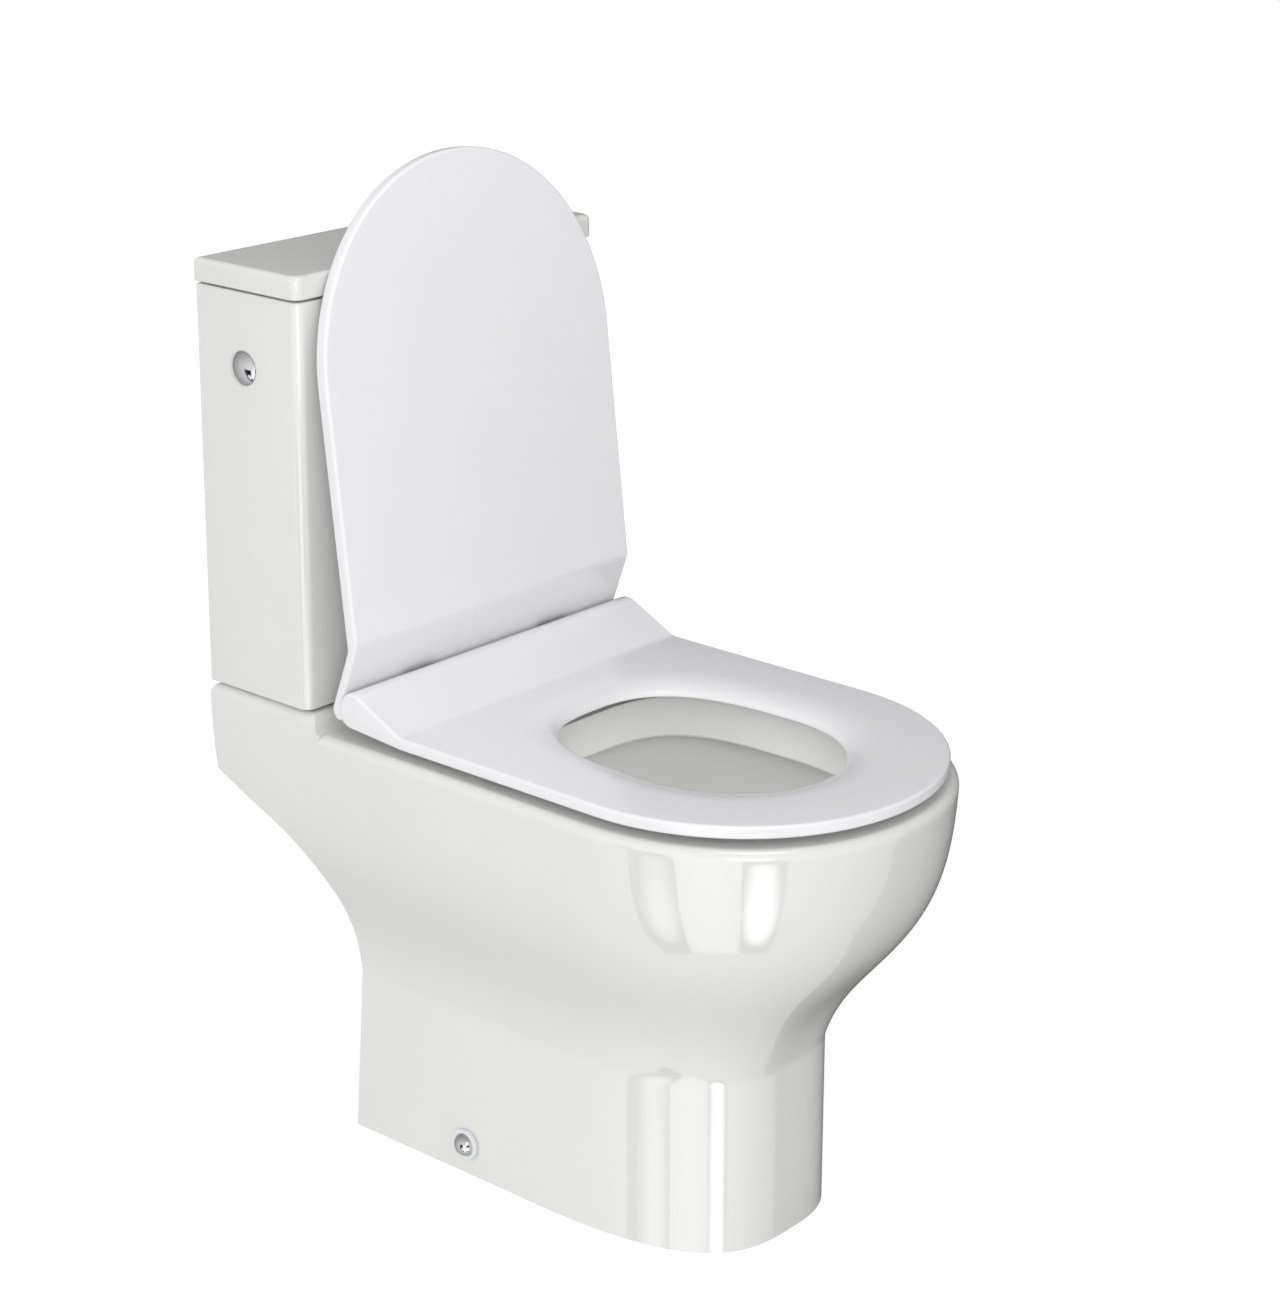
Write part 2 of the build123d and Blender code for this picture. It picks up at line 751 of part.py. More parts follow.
# ---------------------------------------------------------------- fixings between cistern and pan
def coupling_stack():
    """Bolt, upper washers, lower washers and wing nut on one side, from the top down."""
    x, out = coupling_spacing / 2, inlet_out
    head_low = tank_floor_top + rubber_washer_thickness + metal_washer_thickness
    under = rim_height - deck_thickness
    rubber_low = under - rubber_washer_thickness
    metal_low = rubber_low - metal_washer_thickness
    bolt = upright(coupling_bolt_radius, x, out, (metal_low - wing_nut_height - 6, head_low))
    bolt = bolt + upright(coupling_bolt_radius + 4, x, out, (head_low, head_low + 5))
    upper_rubber = ring(11, coupling_bolt_radius, x, out, (tank_floor_top, tank_floor_top + rubber_washer_thickness))
    lower_rubber = ring(11, coupling_bolt_radius, x, out, (rubber_low, under))
    upper_metal = ring(9.5, coupling_bolt_radius, x, out, (head_low - metal_washer_thickness, head_low))
    lower_metal = ring(9.5, coupling_bolt_radius, x, out, (metal_low, rubber_low))
    nut = wing_nut(coupling_bolt_radius, x, out, metal_low)
    return bolt, [upper_rubber, lower_rubber], [upper_metal, lower_metal], nut


def wing_nut(bore, x, out, top):
    """A wing nut that hangs below the given height."""
    hub = upright(bore + 4, x, out, (top - wing_nut_height, top))
    wings = block((x - 17, x + 17), (out - 1.5, out + 1.5), (top - wing_nut_height - 5, top - 3))
    return (hub + wings) - upright(bore, x, out, (top - wing_nut_height - 9, top + 1))


# ---------------------------------------------------------------- fill valve and side cap
def across_hexagon(across_flats, bore, x_range):
    plan = RegularPolygon(across_flats / 2, 6, major_radius=False)
    nut = extrude(plan, x_range[1] - x_range[0])
    nut = Pos(x_range[0], at(side_inlet_out), side_inlet_height) * Rot(0, 90, 0) * nut
    return nut - side_rod(bore, (x_range[0] - 1, x_range[1] + 1))


def side_rod(radius, x_range):
    return crosswise(radius, x_range, side_inlet_out, side_inlet_height)


def fill_valve_body():
    """Threaded tail through the cistern's side, with the valve's head and the down pipe."""
    flange_x = inner_seat_x() - side_washer_thickness
    nut_end = outer_seat_x() + inlet_nut_length
    tail = side_rod(inlet_shank_radius, (fill_head_x, nut_end))
    tail = tail + side_rod(inlet_tail_radius, (nut_end, outer_seat_x() + inlet_tail_length))
    flange = side_rod(side_seat_radius - 1, (flange_x - 5, flange_x))
    head_z = side_inlet_height + fill_head_rise
    head = upright(fill_head_radius, fill_head_x, side_inlet_out, (side_inlet_height - 14, head_z))
    pipe = upright(fill_pipe_radius, fill_head_x, side_inlet_out, (fill_pipe_foot, side_inlet_height))
    body = tail + flange + head + pipe
    body = body - side_rod(inlet_tail_bore, (fill_head_x, outer_seat_x() + inlet_tail_length + 1))
    body = body - upright(fill_pipe_radius - 2, fill_head_x, side_inlet_out, (fill_pipe_foot - 1, side_inlet_height))
    ear_z = (head_z - 1, lever_height + lever_hub_radius)
    for side in (-1, 1):
        near, far = sorted((side * lever_half_width + side * 0.4, side * lever_half_width + side * 3))
        ear = block((lever_pivot_x - 5, fill_head_x), (side_inlet_out + near, side_inlet_out + far), ear_z)
        body = body + ear
    return body - lever_pin_at(lever_pin_radius)


def lever_pin_at(radius):
    reach = 2 * lever_half_width + 6
    return Pos(lever_pivot_x, at(side_inlet_out), lever_height) * Rot(90, 0, 0) * Cylinder(radius, reach)


def lever_pin():
    return lever_pin_at(lever_pin_radius)


def float_lever():
    hub = Pos(lever_pivot_x, at(side_inlet_out), lever_height) * Rot(90, 0, 0)
    hub = hub * Cylinder(lever_hub_radius, 2 * lever_half_width)
    arm = block((float_x - 6, lever_pivot_x), (side_inlet_out - lever_half_width, side_inlet_out + lever_half_width),
                (lever_height - 2.5, lever_height + 2.5))
    return hub + arm - lever_pin_at(lever_pin_radius + pin_clearance)


def float_cup():
    """The float, its rod up to the lever and the collar that slides on the down pipe."""
    top = float_foot + float_cup_height
    cup = upright(float_radius, float_x, side_inlet_out, (float_foot, top))
    cup = cup - upright(float_radius - 2, float_x, side_inlet_out, (float_foot - 1, top - 2))
    rod = upright(2.5, float_x, side_inlet_out, (top - 1, lever_height - 2.5 - float_rod_gap))
    collar = ring(fill_pipe_radius + 4, fill_pipe_radius + 0.4, fill_head_x, side_inlet_out, (top - 16, top))
    bridge = block((float_x + float_radius - 3, fill_head_x - fill_pipe_radius - 2),
                   (side_inlet_out - 4, side_inlet_out + 4), (top - 16, top))
    return cup + rod + bridge + collar


def side_washer(side):
    span = sorted((side * inner_seat_x(), side * (inner_seat_x() - side_washer_thickness)))
    return side_rod(side_seat_radius - 1, span) - side_rod(inlet_shank_radius, (span[0] - 1, span[1] + 1))


def inlet_nut():
    return across_hexagon(inlet_nut_across_flats, inlet_shank_radius, (outer_seat_x(), outer_seat_x() + inlet_nut_length))


def inlet_cap():
    """The domed chrome cap that closes the cistern's unused side hole."""
    seat = outer_seat_x()
    cap = Pos(-seat, at(side_inlet_out), side_inlet_height) * Rot(0, -90, 0) * dome(inlet_cap_radius, inlet_cap_height)
    stem = side_rod(inlet_shank_radius, (-seat - 1, -inner_seat_x() + side_washer_thickness + 10))
    return cap + stem


def inlet_cap_nut():
    start = -inner_seat_x() + side_washer_thickness
    return across_hexagon(inlet_nut_across_flats, inlet_shank_radius, (start, start + 6))


# ---------------------------------------------------------------- seat
def from_hinge(forward, up):
    """A place measured from the hinge line, as its distance out from the wall and its height."""
    return hinge_out + forward, hinge_height + up


def from_hinge_prism(corners, half_width):
    """A prism across the toilet from (forward, up, corner radius) rows about the hinge line."""
    points = [from_hinge(forward, up) for forward, up, _ in corners]
    return side_prism(points, [radius for _, _, radius in corners], half_width)


def on_hinge_line(radius, x_range):
    return crosswise(radius, x_range, hinge_out, hinge_height)


def soften_ends(body, radius, wanted=None):
    """Round the edges of a prism's two end faces, or only the wanted ones."""
    ends = body.faces().sort_by(Axis.X)
    edges = ends[0].edges() + ends[-1].edges()
    return fillet([edge for edge in edges if wanted is None or wanted(edge)], radius)


def seat_plate():
    """The flat part of the seat, rounded at its upper edge and eased at its lower one."""
    flat = seat_top - seat_edge_radius
    steps = [(seat_lower_edge, seat_underside), (0, seat_underside + seat_lower_edge)]
    steps += [(inset, flat + up) for inset, up in rounding(seat_edge_radius)]
    plans = []
    for inset, z in steps:
        plans.append(pan_plan(seat_half_width - inset, barrel_half_length - inset, rim_centre_out,
                              seat_length - inset, rim_fullness, z, hinge_out + 2 * post_foot_radius))
    return loft_through(plans, True)


def seat_back():
    """The barrel on the hinge line and the ramp that joins it to the flat part."""
    top, under = seat_top - hinge_height, seat_underside - hinge_height
    lean = radians(90 - ramp_angle)
    start = (barrel_radius * cos(lean), barrel_radius * sin(lean))
    ramp_end = start[0] + (start[1] - top) / tan(radians(ramp_angle))
    corners = [
        (-barrel_radius, 0, 0),
        (0, 0, 0),
        (start[0], start[1], 0),
        (ramp_end, top, 12),
        (ramp_end + 14, top, 0),
        (ramp_end + 14, under, 0),
        (ramp_end + 7, under, 0),
        (-barrel_radius, under + 5, barrel_radius - 1),
    ]
    prism = from_hinge_prism(corners, barrel_half_length)
    body = prism + on_hinge_line(barrel_radius, (-barrel_half_length, barrel_half_length))
    return soften_ends(body, barrel_end_radius)


def seat_hole():
    plans = []
    rows = [(0, seat_underside - 1)]
    rows += [(inset, seat_underside + up) for inset, up in rounding(seat_roll_width, seat_roll_height)]
    for grow, z in rows:
        plans.append(egg_plan(seat_hole_half_width + grow, seat_hole_rear_out - grow, seat_hole_centre_out,
                              seat_hole_front_out + grow, rim_fullness, z))
    return loft_through(plans, True)


def hinge_slot():
    """Room in the barrel for one post and one lug of the lid, at every angle of the seat."""
    depth = post_half_depth + 2.5
    reach = 2 * barrel_radius
    corners = [(0, 0, 0), (-3.5, reach, 0), (-reach, reach, 0), (-reach, -reach, 0), (depth, -reach, 0), (depth, 0, 0)]
    middle = (slot_low_x + slot_high_x) / 2
    opening = Pos(middle, 0, 0) * from_hinge_prism(corners, (slot_high_x - slot_low_x) / 2)
    return opening + on_hinge_line(slot_radius, (slot_low_x, slot_high_x))


def seat_ring():
    body = seat_plate() + seat_back() - seat_hole()
    for slot in both_sides(hinge_slot()):
        body = body - slot
    for bore in both_sides(on_hinge_line(hinge_pin_radius + pin_clearance, (slot_high_x - 1, hinge_pin_high_x + 1))):
        body = body - bore
    for pocket in both_sides(on_hinge_line(damper_radius, (damper_low_x, slot_low_x + 1))):
        body = body - pocket
    return body


def damper():
    """A soft-close damper's case in the seat's barrel, with the bore for the hinge pin."""
    case = on_hinge_line(damper_radius, (damper_low_x, slot_low_x))
    return case - on_hinge_line(hinge_pin_radius + pin_clearance, (hinge_pin_low_x - 0.5, slot_low_x + 1))


def seat_buffers():
    pads = []
    for x, out in buffer_places:
        plan = Pos(x, at(out), rim_height) * SlotOverall(buffer_length, buffer_width, rotation=90)
        pads += both_sides(extrude(plan, seat_underside - rim_height))
    return pads


# ---------------------------------------------------------------- seat lid
def lid_plate():
    """The flat part of the lid in its closed place."""
    low = seat_top + closed_gap
    flat = low + seat_lid_thickness - seat_lid_edge_radius
    steps = [(seat_lower_edge, low), (0, low + seat_lower_edge)]
    steps += [(inset, flat + up) for inset, up in rounding(seat_lid_edge_radius)]
    plans = []
    for inset, z in steps:
        plans.append(pan_plan(seat_lid_half_width - inset, seat_lid_half_width - inset, rim_centre_out,
                              seat_lid_length - inset, rim_fullness, z, hinge_out + 50))
    return loft_through(plans, True)


def on_lid_outside(edge):
    """Whether an edge of the closed lid's rear part is on its outer side."""
    centre = edge.center()
    forward, up = at(centre.Y) - hinge_out, centre.Z - hinge_height
    return up > 10 - 0.215 * forward


def lid_back():
    """The closed lid's rear part, which rises over the seat's barrel."""
    inner = seat_top + closed_gap - hinge_height
    outer = inner + seat_lid_thickness
    corners = [
        (60, inner, 0),
        (60, outer, 0),
        (50, outer, 15),
        (-4, 30, 9),
        (-14.5, 25, 4),
        (-14.5, 11.1, 0),
        (10.8, 12.75, 0),
        (55.4, inner, 15),
    ]
    body = soften_ends(from_hinge_prism(corners, seat_lid_half_width), lid_end_radius, on_lid_outside)
    return body - on_hinge_line(seat_lid_arc, (-2 * seat_lid_half_width, 2 * seat_lid_half_width))


def lid_lug():
    """One of the two eyes by which the lid hangs on its hinge pins."""
    reach = seat_lid_arc + 3
    corners = [(0, 0, 0)]
    for angle in (lug_web_low_angle, lug_web_high_angle):
        corners.append((reach * cos(radians(angle)), reach * sin(radians(angle)), 0))
    middle = (lug_low_x + lug_high_x) / 2
    web = Pos(middle, 0, 0) * from_hinge_prism(corners, (lug_high_x - lug_low_x) / 2)
    return web + on_hinge_line(lug_radius, (lug_low_x, lug_high_x))


def seat_lid():
    body = lid_plate() + lid_back()
    for lug in both_sides(lid_lug()):
        body = body + lug
    for bore in both_sides(on_hinge_line(hinge_pin_radius + pin_clearance, (lug_low_x - 1, lug_high_x + 1))):
        body = body - bore
    to_hinge = Pos(0, at(hinge_out), hinge_height)
    return to_hinge * Rot(-lid_open_angle, 0, 0) * Pos(0, -at(hinge_out), -hinge_height) * body


# ---------------------------------------------------------------- hinges
def hinge_post():
    x = hinge_spacing / 2
    x_range = (x - post_half_width, x + post_half_width)
    foot = upright(post_foot_radius, x, hinge_out, (rim_height, rim_height + post_foot_thickness))
    column = block(x_range, (hinge_out - post_half_depth, hinge_out + post_half_depth), (rim_height, hinge_height))
    body = foot + column + on_hinge_line(post_half_depth, x_range)
    body = body - on_hinge_line(hinge_pin_radius, (x_range[0] - 1, x_range[1] + 1))
    return body - upright(hinge_bolt_radius, x, hinge_out, (rim_height - 1, rim_height + hinge_bolt_rise))


def hinge_stack():
    """Bolt, rubber bush and wing nut below one hinge post."""
    x = hinge_spacing / 2
    under = rim_height - deck_thickness
    bush_low = under - rubber_washer_thickness
    bolt = upright(hinge_bolt_radius, x, hinge_out, (bush_low - wing_nut_height - 8, rim_height + hinge_bolt_rise))
    bush = upright(hinge_hole / 2 - 0.4, x, hinge_out, (under - 1, rim_height))
    bush = bush + upright(hinge_hole / 2 + 5, x, hinge_out, (bush_low, under))
    bush = bush - upright(hinge_bolt_radius, x, hinge_out, (bush_low - 1, rim_height + 1))
    return bolt, bush, wing_nut(hinge_bolt_radius, x, hinge_out, bush_low)


# ---------------------------------------------------------------- floor fixings
def foot_side(out):
    """X of the pedestal's outer face near the floor."""
    slope = (foot_rear_half_width - foot_half_width) / foot_centre_out
    return foot_half_width + slope * (foot_centre_out - out)


def floor_bracket():
    """An angle inside the pedestal: screwed to the floor through its foot, to the pan through its upright."""
    outer = foot_side(fixing_out) - china_wall - bracket_gap
    half = bracket_length / 2
    out_range = (fixing_out - half, fixing_out + half)
    upright_leg = block((outer - bracket_thickness, outer), out_range, (0, bracket_height))
    foot = block((outer - bracket_foot, outer), out_range, (0, bracket_thickness))
    body = upright_leg + foot
    body = body - upright(floor_screw_hole / 2, floor_screw_x(), fixing_out, (-1, bracket_thickness + 1))
    return body - fixing_rod(side_screw_radius, (outer - bracket_thickness - 1, outer + 1))


def floor_screw_x():
    return foot_side(fixing_out) - china_wall - bracket_gap - (bracket_foot + bracket_thickness) / 2


def fixing_rod(radius, x_range):
    return crosswise(radius, x_range, fixing_out, side_fixing_height)


def fixing_set():
    """Screw, collar and cap on the outside of the pedestal."""
    face = foot_side(fixing_out - collar_radius) + 0.05
    inner = face - china_wall - bracket_gap - bracket_thickness - 6
    seat = face + collar_thickness
    screw = fixing_rod(side_screw_radius, (inner, seat)) + fixing_rod(side_screw_head_radius, (seat, seat + 3))
    collar = fixing_rod(collar_radius, (face, seat)) + fixing_rod(side_fixing_hole / 2 - 0.4, (face - 6, face))
    collar = collar - fixing_rod(side_screw_radius, (face - 7, seat + 1))
    cap = Pos(seat, at(fixing_out), side_fixing_height) * Rot(0, 90, 0) * dome(fixing_cap_radius, fixing_cap_height)
    cap = cap - fixing_rod(side_screw_head_radius, (seat - 1, seat + 3))
    return screw, collar, cap


# ---------------------------------------------------------------- output
def mirrored(shapes):
    """All the shapes and their mirror images."""
    return [one for shape in shapes for one in both_sides(shape)]


def all_parts():
    bolt, coupling_rubbers, coupling_metals, coupling_nut = coupling_stack()
    hinge_bolt, hinge_bush, hinge_nut = hinge_stack()
    side_screw, collar, fixing_cap = fixing_set()
    half_gap = button_split_gap / 2
    return {
        "pan": [pan()],
        "cistern_tank": [cistern_tank()],
        "cistern_lid": [cistern_lid()],
        "lid_pads": lid_pads(),
        "button_housing": [button_housing()],
        "button_nut": [button_nut()],
        "full_flush_button": [button(button_split_x + half_gap, button_hole)],
        "half_flush_button": [button(-button_hole, button_split_x - half_gap)],
        "full_push_rod": [button_rod(full_rod_x)],
        "half_push_rod": [button_rod(half_rod_x)],
        "flush_valve_base": [flush_valve_base()],
        "flush_valve_washer": [flush_valve_washer()],
        "flush_valve_nut": [flush_valve_nut()],
        "flush_valve_cage": [flush_valve_cage()],
        "overflow_tube": [overflow_tube()],
        "valve_seal": [valve_seal()],
        "coupling_gasket": [coupling_gasket()],
        "coupling_bolts": both_sides(bolt),
        "coupling_rubber_washers": mirrored(coupling_rubbers),
        "coupling_metal_washers": mirrored(coupling_metals),
        "coupling_wing_nuts": both_sides(coupling_nut),
        "fill_valve_body": [fill_valve_body()],
        "fill_valve_washer": [side_washer(1)],
        "fill_valve_nut": [inlet_nut()],
        "float": [float_cup()],
        "float_lever": [float_lever()],
        "lever_pin": [lever_pin()],
        "inlet_cap": [inlet_cap()],
        "inlet_cap_washer": [side_washer(-1)],
        "inlet_cap_nut": [inlet_cap_nut()],
        "seat_ring": [seat_ring()],
        "seat_buffers": seat_buffers(),
        "seat_lid": [seat_lid()],
        "hinge_posts": both_sides(hinge_post()),
        "hinge_pins": both_sides(on_hinge_line(hinge_pin_radius, (hinge_pin_low_x, hinge_pin_high_x))),
        "seat_damper": [both_sides(damper())[1]],
        "lid_damper": [damper()],
        "hinge_bolts": both_sides(hinge_bolt),
        "hinge_bushes": both_sides(hinge_bush),
        "hinge_nuts": both_sides(hinge_nut),
        "floor_brackets": both_sides(floor_bracket()),
        "fixing_screws": both_sides(side_screw),
        "fixing_collars": both_sides(collar),
        "fixing_caps": both_sides(fixing_cap),
    }


os.makedirs("parts", exist_ok=True)
for node, shapes in all_parts().items():
    shape = shapes[0] if len(shapes) == 1 else Compound(children=shapes)
    export_step(shape, f"parts/{node}.step")
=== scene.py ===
import json
import math

import bmesh
import bpy
from mathutils import Matrix, Vector

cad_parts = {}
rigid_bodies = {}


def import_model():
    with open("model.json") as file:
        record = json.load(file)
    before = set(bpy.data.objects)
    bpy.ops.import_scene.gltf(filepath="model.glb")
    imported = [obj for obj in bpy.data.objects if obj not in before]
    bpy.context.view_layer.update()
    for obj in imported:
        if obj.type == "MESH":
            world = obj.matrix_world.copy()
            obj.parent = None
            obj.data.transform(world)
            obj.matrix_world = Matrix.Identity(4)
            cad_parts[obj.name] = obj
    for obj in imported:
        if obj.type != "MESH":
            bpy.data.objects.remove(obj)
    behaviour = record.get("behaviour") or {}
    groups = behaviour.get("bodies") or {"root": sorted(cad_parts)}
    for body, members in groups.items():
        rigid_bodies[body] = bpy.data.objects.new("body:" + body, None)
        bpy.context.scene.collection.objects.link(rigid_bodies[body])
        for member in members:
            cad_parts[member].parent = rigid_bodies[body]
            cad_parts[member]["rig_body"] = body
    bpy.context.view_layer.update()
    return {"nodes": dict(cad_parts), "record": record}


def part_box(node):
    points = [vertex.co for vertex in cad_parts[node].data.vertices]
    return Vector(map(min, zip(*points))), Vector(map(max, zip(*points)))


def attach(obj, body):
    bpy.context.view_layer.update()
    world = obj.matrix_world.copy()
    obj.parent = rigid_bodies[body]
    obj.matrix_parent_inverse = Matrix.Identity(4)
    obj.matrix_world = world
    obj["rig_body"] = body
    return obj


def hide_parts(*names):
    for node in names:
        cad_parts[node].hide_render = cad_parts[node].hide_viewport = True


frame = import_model()

# ---- sizes, in millimetres
# Distances out are from the wall; at() turns them into Y. Everything else is in the row's frame.
MM = 0.001
fixing_out = 229.0

# pan
rim_height = 400.0
shelf_rise = 15.5
shelf_depth = 130.0
pan_length = 612.0
rim_half_width = 176.0
rim_rear_half_width = 178.8
rim_centre_out = 420.0
rim_fullness = 2.12
foot_half_width = 110.6
foot_rear_half_width = 114.8
foot_length = 497.0
foot_centre_out = 275.0
foot_fullness = 2.95
foot_rear_out = 94.0
waist_rear_out = 110.5
waist_height = 200.0
flare_start = 155.0
flare_steepness = 6.3
flare_middle = 0.36
back_edge_height = 336.0
rim_edge_radius = 8.0
rim_rear_out = 0.3
pan_row_height = 4.0
deck_margin = 1.0
shelf_edge_radius = 8.5
shelf_foot_radius = 5.0
undercut_radius = 100.0
undercut_angle = 61.0
china_wall = 12.0
deck_thickness = 14.0
mouth_half_width = 112.0
mouth_rear_out = 269.0
mouth_front_out = 553.0
mouth_centre_out = 405.0
mouth_rear_fullness = 3.4
mouth_edge_radius = 5.0
lip_thickness = 11.0
lip_depth = 38.0
lip_lower_radius = 4.0
bowl_wall = 11.0
bowl_top_half_width = 158.0
bowl_top_rear_out = 243.0
bowl_top_front_out = 594.0
sump_height = 100.0
sump_half_width = 42.0
sump_rear_out = 272.0
sump_front_out = 372.0
egg_rear_fullness = 2.6
trap_bore = 70.0
trap_wall = 9.0
trap_start = 10.0
trap_start_share = 0.6
trap_dip = 52.0
trap_rise = 62.0
trap_crest = 104.0
trap_run = 8.0
trap_end = 25.0
trap_low_bend = 50.0
trap_high_bend = 60.0
weir_height = 150.0
outlet_height = 180.0
outlet_outside = 102.0
outlet_bore = 84.0
outlet_end_out = 62.0
outlet_length = 52.0
outlet_edge_radius = 3.0
inlet_out = 62.0
inlet_bore = 61.0
duct_half_width = 36.0
duct_height = 26.0
duct_wall = 8.0
duct_edge_radius = 5.0
duct_overlap = 4.0
floor_steps = 8
bowl_steps = 48
core_steps = 24
shelf_steps = 24
sewn = 1e-6

# seat and seat lid, the lid in its closed place
hinge_out = 166.8
hinge_height = 427.4
seat_underside = 407.6
seat_top = 418.4
seat_half_width = 169.6
seat_rear_half_width = 170.2
seat_length = 605.7
seat_centre_out = 431.0
seat_fullness = 2.02
seat_edge_radius = 2.8
seat_seam_out = 236.0
hole_half_width = 93.0
hole_rear_out = 278.0
hole_front_out = 523.0
hole_centre_out = 421.0
hole_fullness = 2.03
hole_rear_fullness = 2.84
roll_width = 33.0
hole_lip = 1.0
barrel_radius = 15.5
heel_height = 5.0
heel_radius = 3.0
ramp_angle = 26.0
ramp_foot_radius = 14.0
slot_low_x = 64.5
slot_high_x = 100.0
slot_radius = 11.5
slot_start_angle = 117.0
slot_margin = 1.0
lid_underside = 417.9
lid_thickness = 12.0
lid_half_width = 166.5
lid_length = 603.5
lid_edge_radius = 3.0
lid_seam_out = 228.0
lid_hollow_radius = 16.7
lid_foot_forward = 55.4
lid_foot_radius = 15.0
lid_front_lip = (10.8, 12.75)
lid_rear_lip = (-11.5, 12.1)
lid_heel_up = 25.0
lid_heel_radius = 4.0
lid_crown = (-3.0, 30.0)
lid_crown_radius = 9.0
lid_shoulder_forward = 50.0
lid_open_angle = 96.41
lug_low_x = 90.0
lug_high_x = 99.0
lug_radius = 9.0
lug_web_angles = (141.0, 121.0)
lug_web_reach = 3.0

# cistern
tank_bottom = 418.0
tank_top = 760.5
tank_bottom_half_width = 177.7
tank_top_half_width = 172.4
tank_depth = 120.8
tank_wall = 9.5
tank_floor = 12.0
tank_edge_radius = 1.5
tank_floor_radius = 8.0
tank_inner_radius = 6.0
cistern_front_radius = 9.0
cistern_back_radius = 1.5
tank_valve_hole = 61.0
coupling_spacing = 160.0
coupling_hole = 12.0
side_inlet_out = 55.3
side_inlet_height = 698.0
side_inlet_hole = 22.0
side_seat_radius = 16.0
seat_grinding = 0.2
wall_screw_spacing = 220.0
wall_screw_height = 705.0
wall_screw_bore = 8.0
cover_bottom = 762.6
cover_top = 782.1
cover_skin = 8.0
cover_border = 14.0
cover_half_width = 174.3
cover_depth = 122.5
cover_edge_radius = 4.5
cover_lower_edge = 1.0
cover_inner_radius = 4.0
cut_margin = 1.0
cut_reach = 5.0
bore_beyond = 20.0
bore_within = 30.0
frame_clearance = 2.0
frame_wall = 5.0
frame_drop = 9.0
button_hole = 44.0


def at(out):
    """Y of a place that is this far out from the wall."""
    return fixing_out - out


def blend(low, high, share):
    return low + (high - low) * share


def arc_steps(radius, steps, height=None):
    """A quarter round from side to top: how far in and how far up each step is."""
    height = radius if height is None else height
    rows = []
    for step in range(steps + 1):
        angle = math.pi / 2 * step / steps
        rows.append((radius * (1 - math.cos(angle)), height * math.sin(angle)))
    return rows


# ---- meshes from rows of points
def grid_faces(rows, around=False):
    """Quads between rows of points that all have the same count."""
    count = len(rows[0])
    faces = []
    for row in range(len(rows) - 1):
        for step in range(count if around else count - 1):
            ahead = (step + 1) % count
            low, high = row * count, (row + 1) * count
            faces.append((low + step, low + ahead, high + ahead, high + step))
    return faces


def mesh_of(points, faces):
    """A bmesh from points in millimetres, with its doubles merged and its faces outwards."""
    mesh = bmesh.new()
    corners = [mesh.verts.new(Vector(point) * MM) for point in points]
    for face in faces:
        mesh.faces.new([corners[index] for index in face])
    bmesh.ops.remove_doubles(mesh, verts=mesh.verts, dist=sewn)
    bmesh.ops.dissolve_degenerate(mesh, edges=mesh.edges, dist=1e-7)
    bmesh.ops.recalc_face_normals(mesh, faces=mesh.faces)
    return mesh


def closed_skin(rows, capped=True):
    """A shell through closed rows of points, with a flat cap on its first and last row."""
    points = [point for row in rows for point in row]
    faces = grid_faces(rows, around=True)
    count = len(rows[0])
    if capped:
        faces.append(tuple(range(count)))
        faces.append(tuple(range(len(points) - count, len(points))))
    return mesh_of(points, faces)


def joined(meshes):
    """Several bmeshes as one."""
    whole = bmesh.new()
    for mesh in meshes:
        data = bpy.data.meshes.new("part")
        mesh.to_mesh(data)
        whole.from_mesh(data)
        mesh.free()
        bpy.data.meshes.remove(data)
    return whole


def sewn_up(meshes):
    """Several bmeshes as one, with their shared corners merged and their faces outwards."""
    whole = joined(meshes)
    bmesh.ops.remove_doubles(whole, verts=whole.verts, dist=sewn)
    bmesh.ops.recalc_face_normals(whole, faces=whole.faces)
    return whole


def new_object(name, mesh):
    data = bpy.data.meshes.new(name)
    mesh.to_mesh(data)
    mesh.free()
    thing = bpy.data.objects.new(name, data)
    bpy.context.scene.collection.objects.link(thing)
    return thing


def taken_back(thing):
    """A piece's mesh as a bmesh; the piece itself is thrown away."""
    mesh = bmesh.new()
    mesh.from_mesh(thing.data)
    bpy.data.objects.remove(thing)
    return mesh


def apply_modifiers(thing):
    """Turn a piece's modifiers into plain mesh."""
    graph = bpy.context.evaluated_depsgraph_get()
    data = bpy.data.meshes.new_from_object(thing.evaluated_get(graph))
    thing.modifiers.clear()
    thing.data = data


def cut(thing, cutter, operation="DIFFERENCE"):
    """Cut one object by another, which is then thrown away."""
    step = thing.modifiers.new("cut", "BOOLEAN")
    step.operation = operation
    step.solver = "EXACT"
    step.object = cutter
    bpy.context.view_layer.update()
    apply_modifiers(thing)
    bpy.data.objects.remove(cutter)


def finish_piece(thing, body, nodes, material, smooth_angle=35, bevel=0.0):
    """Shade a piece, give it its material and tie it to the frame."""
    if bevel:
        step = thing.modifiers.new("edges", "BEVEL")
        step.width = bevel * MM
        step.segments = 3
        step.limit_method = "ANGLE"
        step.angle_limit = math.radians(40)
        bpy.context.view_layer.update()
        apply_modifiers(thing)
    thing.data.materials.clear()
    thing.data.materials.append(material)
    thing.data.shade_smooth()
    thing.data.set_sharp_from_angle(angle=math.radians(smooth_angle))
    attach(thing, body)
    if nodes:
        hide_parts(*nodes)
    return thing


# ---- plans
def superellipse(half_width, reach, fullness, angle):
    """A point of a rounded end, 0 degrees at its side and 90 at its tip."""
    c, s = math.cos(math.radians(angle)), math.sin(math.radians(angle))
    x = half_width * math.copysign(abs(c) ** (2 / fullness), c)
    return x, reach * abs(s) ** (2 / fullness)


